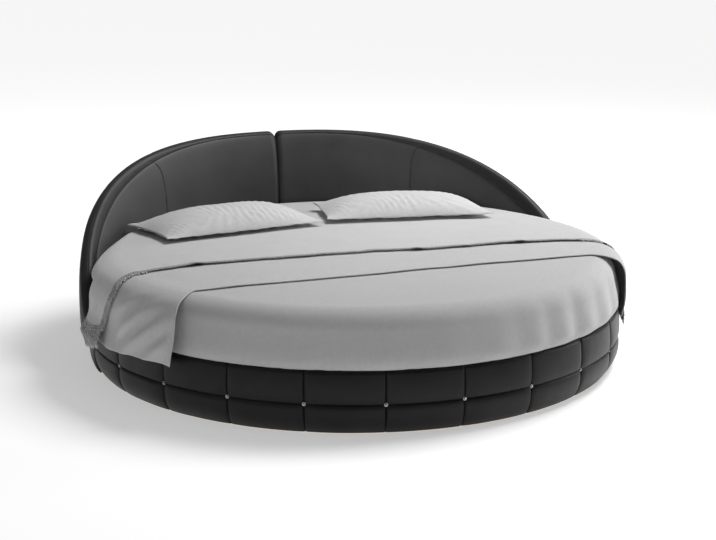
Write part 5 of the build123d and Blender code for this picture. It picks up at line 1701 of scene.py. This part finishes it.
def studio_floor():
    """Pale floor that runs out of sight and glows, weaker near the bed and stronger away from it: painted
    light that makes it read white.
    """
    half = 500.0
    corners = [(-half, -half, 0), (half, -half, 0), (half, half, 0), (-half, half, 0)]
    mesh = bpy.data.meshes.new("studio_floor")
    mesh.from_pydata(corners, [], [(0, 1, 2, 3)])
    floor = link(bpy.data.objects.new("studio_floor", mesh))
    made = bpy.data.materials.new("pale_floor")
    made.use_nodes = True
    tree = made.node_tree
    shader = tree.nodes["Principled BSDF"]
    set_inputs(shader, {
        "Base Color": (0.86, 0.86, 0.86, 1), "Roughness": 0.9, "Specular IOR Level": 0.1,
        "Emission Color": (1, 1, 1, 1),
    })
    place = add_node(tree, "ShaderNodeTexCoord")
    away = add_node(tree, "ShaderNodeVectorMath", operation="LENGTH")
    # Painted light: the floor's emission strength grows with distance from the bed.
    painted_floor_glow = add_node(
        tree, "ShaderNodeMapRange", {"From Min": 1.6, "From Max": 7.0, "To Min": 0.41, "To Max": 0.80},
        interpolation_type="SMOOTHSTEP",
    )
    join_up(
        tree,
        (place.outputs["Object"], away.inputs[0]),
        (away.outputs["Value"], painted_floor_glow.inputs["Value"]),
        (painted_floor_glow.outputs[0], shader.inputs["Emission Strength"]),
    )
    mesh.materials.append(made)


def lamp(name, place, aim, size, power, spread=180):
    """Soft square lamp; spread is the full angle of its beam in degrees."""
    light = bpy.data.lights.new(name, "AREA")
    light.shape = "SQUARE"
    light.size = size
    light.energy = power
    light.spread = radians(spread)
    shown = link(bpy.data.objects.new(name, light))
    shown.location = place
    shown.rotation_euler = (Vector(aim) - Vector(place)).to_track_quat("-Z", "Y").to_euler()


studio_floor()
lamp("key", (3.2, 0.7, 5.5), (0.0, 0.0, 0.3), 3.0, 385)
lamp("side", (5.6, -1.2, 1.9), (0.2, 0.2, 0.5), 1.2, 54)
lamp("cross", (4.4, 2.2, 2.0), (-0.9, 0.7, 0.6), 0.9, 26)
lamp("fill", (-4.2, -1.6, 3.4), (0.5, 0.8, 0.5), 2.4, 9)
lamp("headboard light", (-2.6, -3.6, 1.7), (0.78, 0.93, 0.66), 0.6, 0.8, 18)
world = bpy.data.worlds.new("studio")
world.use_nodes = True
set_inputs(world.node_tree.nodes["Background"], {"Color": (1, 1, 1, 1), "Strength": 0.14})
bpy.context.scene.world = world
bpy.context.scene.view_settings.view_transform = "Standard"

camera_data = bpy.data.cameras.new("camera")
camera_data.sensor_width = 36
camera_data.lens = 68.39
camera = link(bpy.data.objects.new("camera", camera_data))
camera.location = (-2.137, -5.635, 1.819)
camera.rotation_euler = (radians(76.4), 0, radians(-20.93))
bpy.context.scene.camera = camera
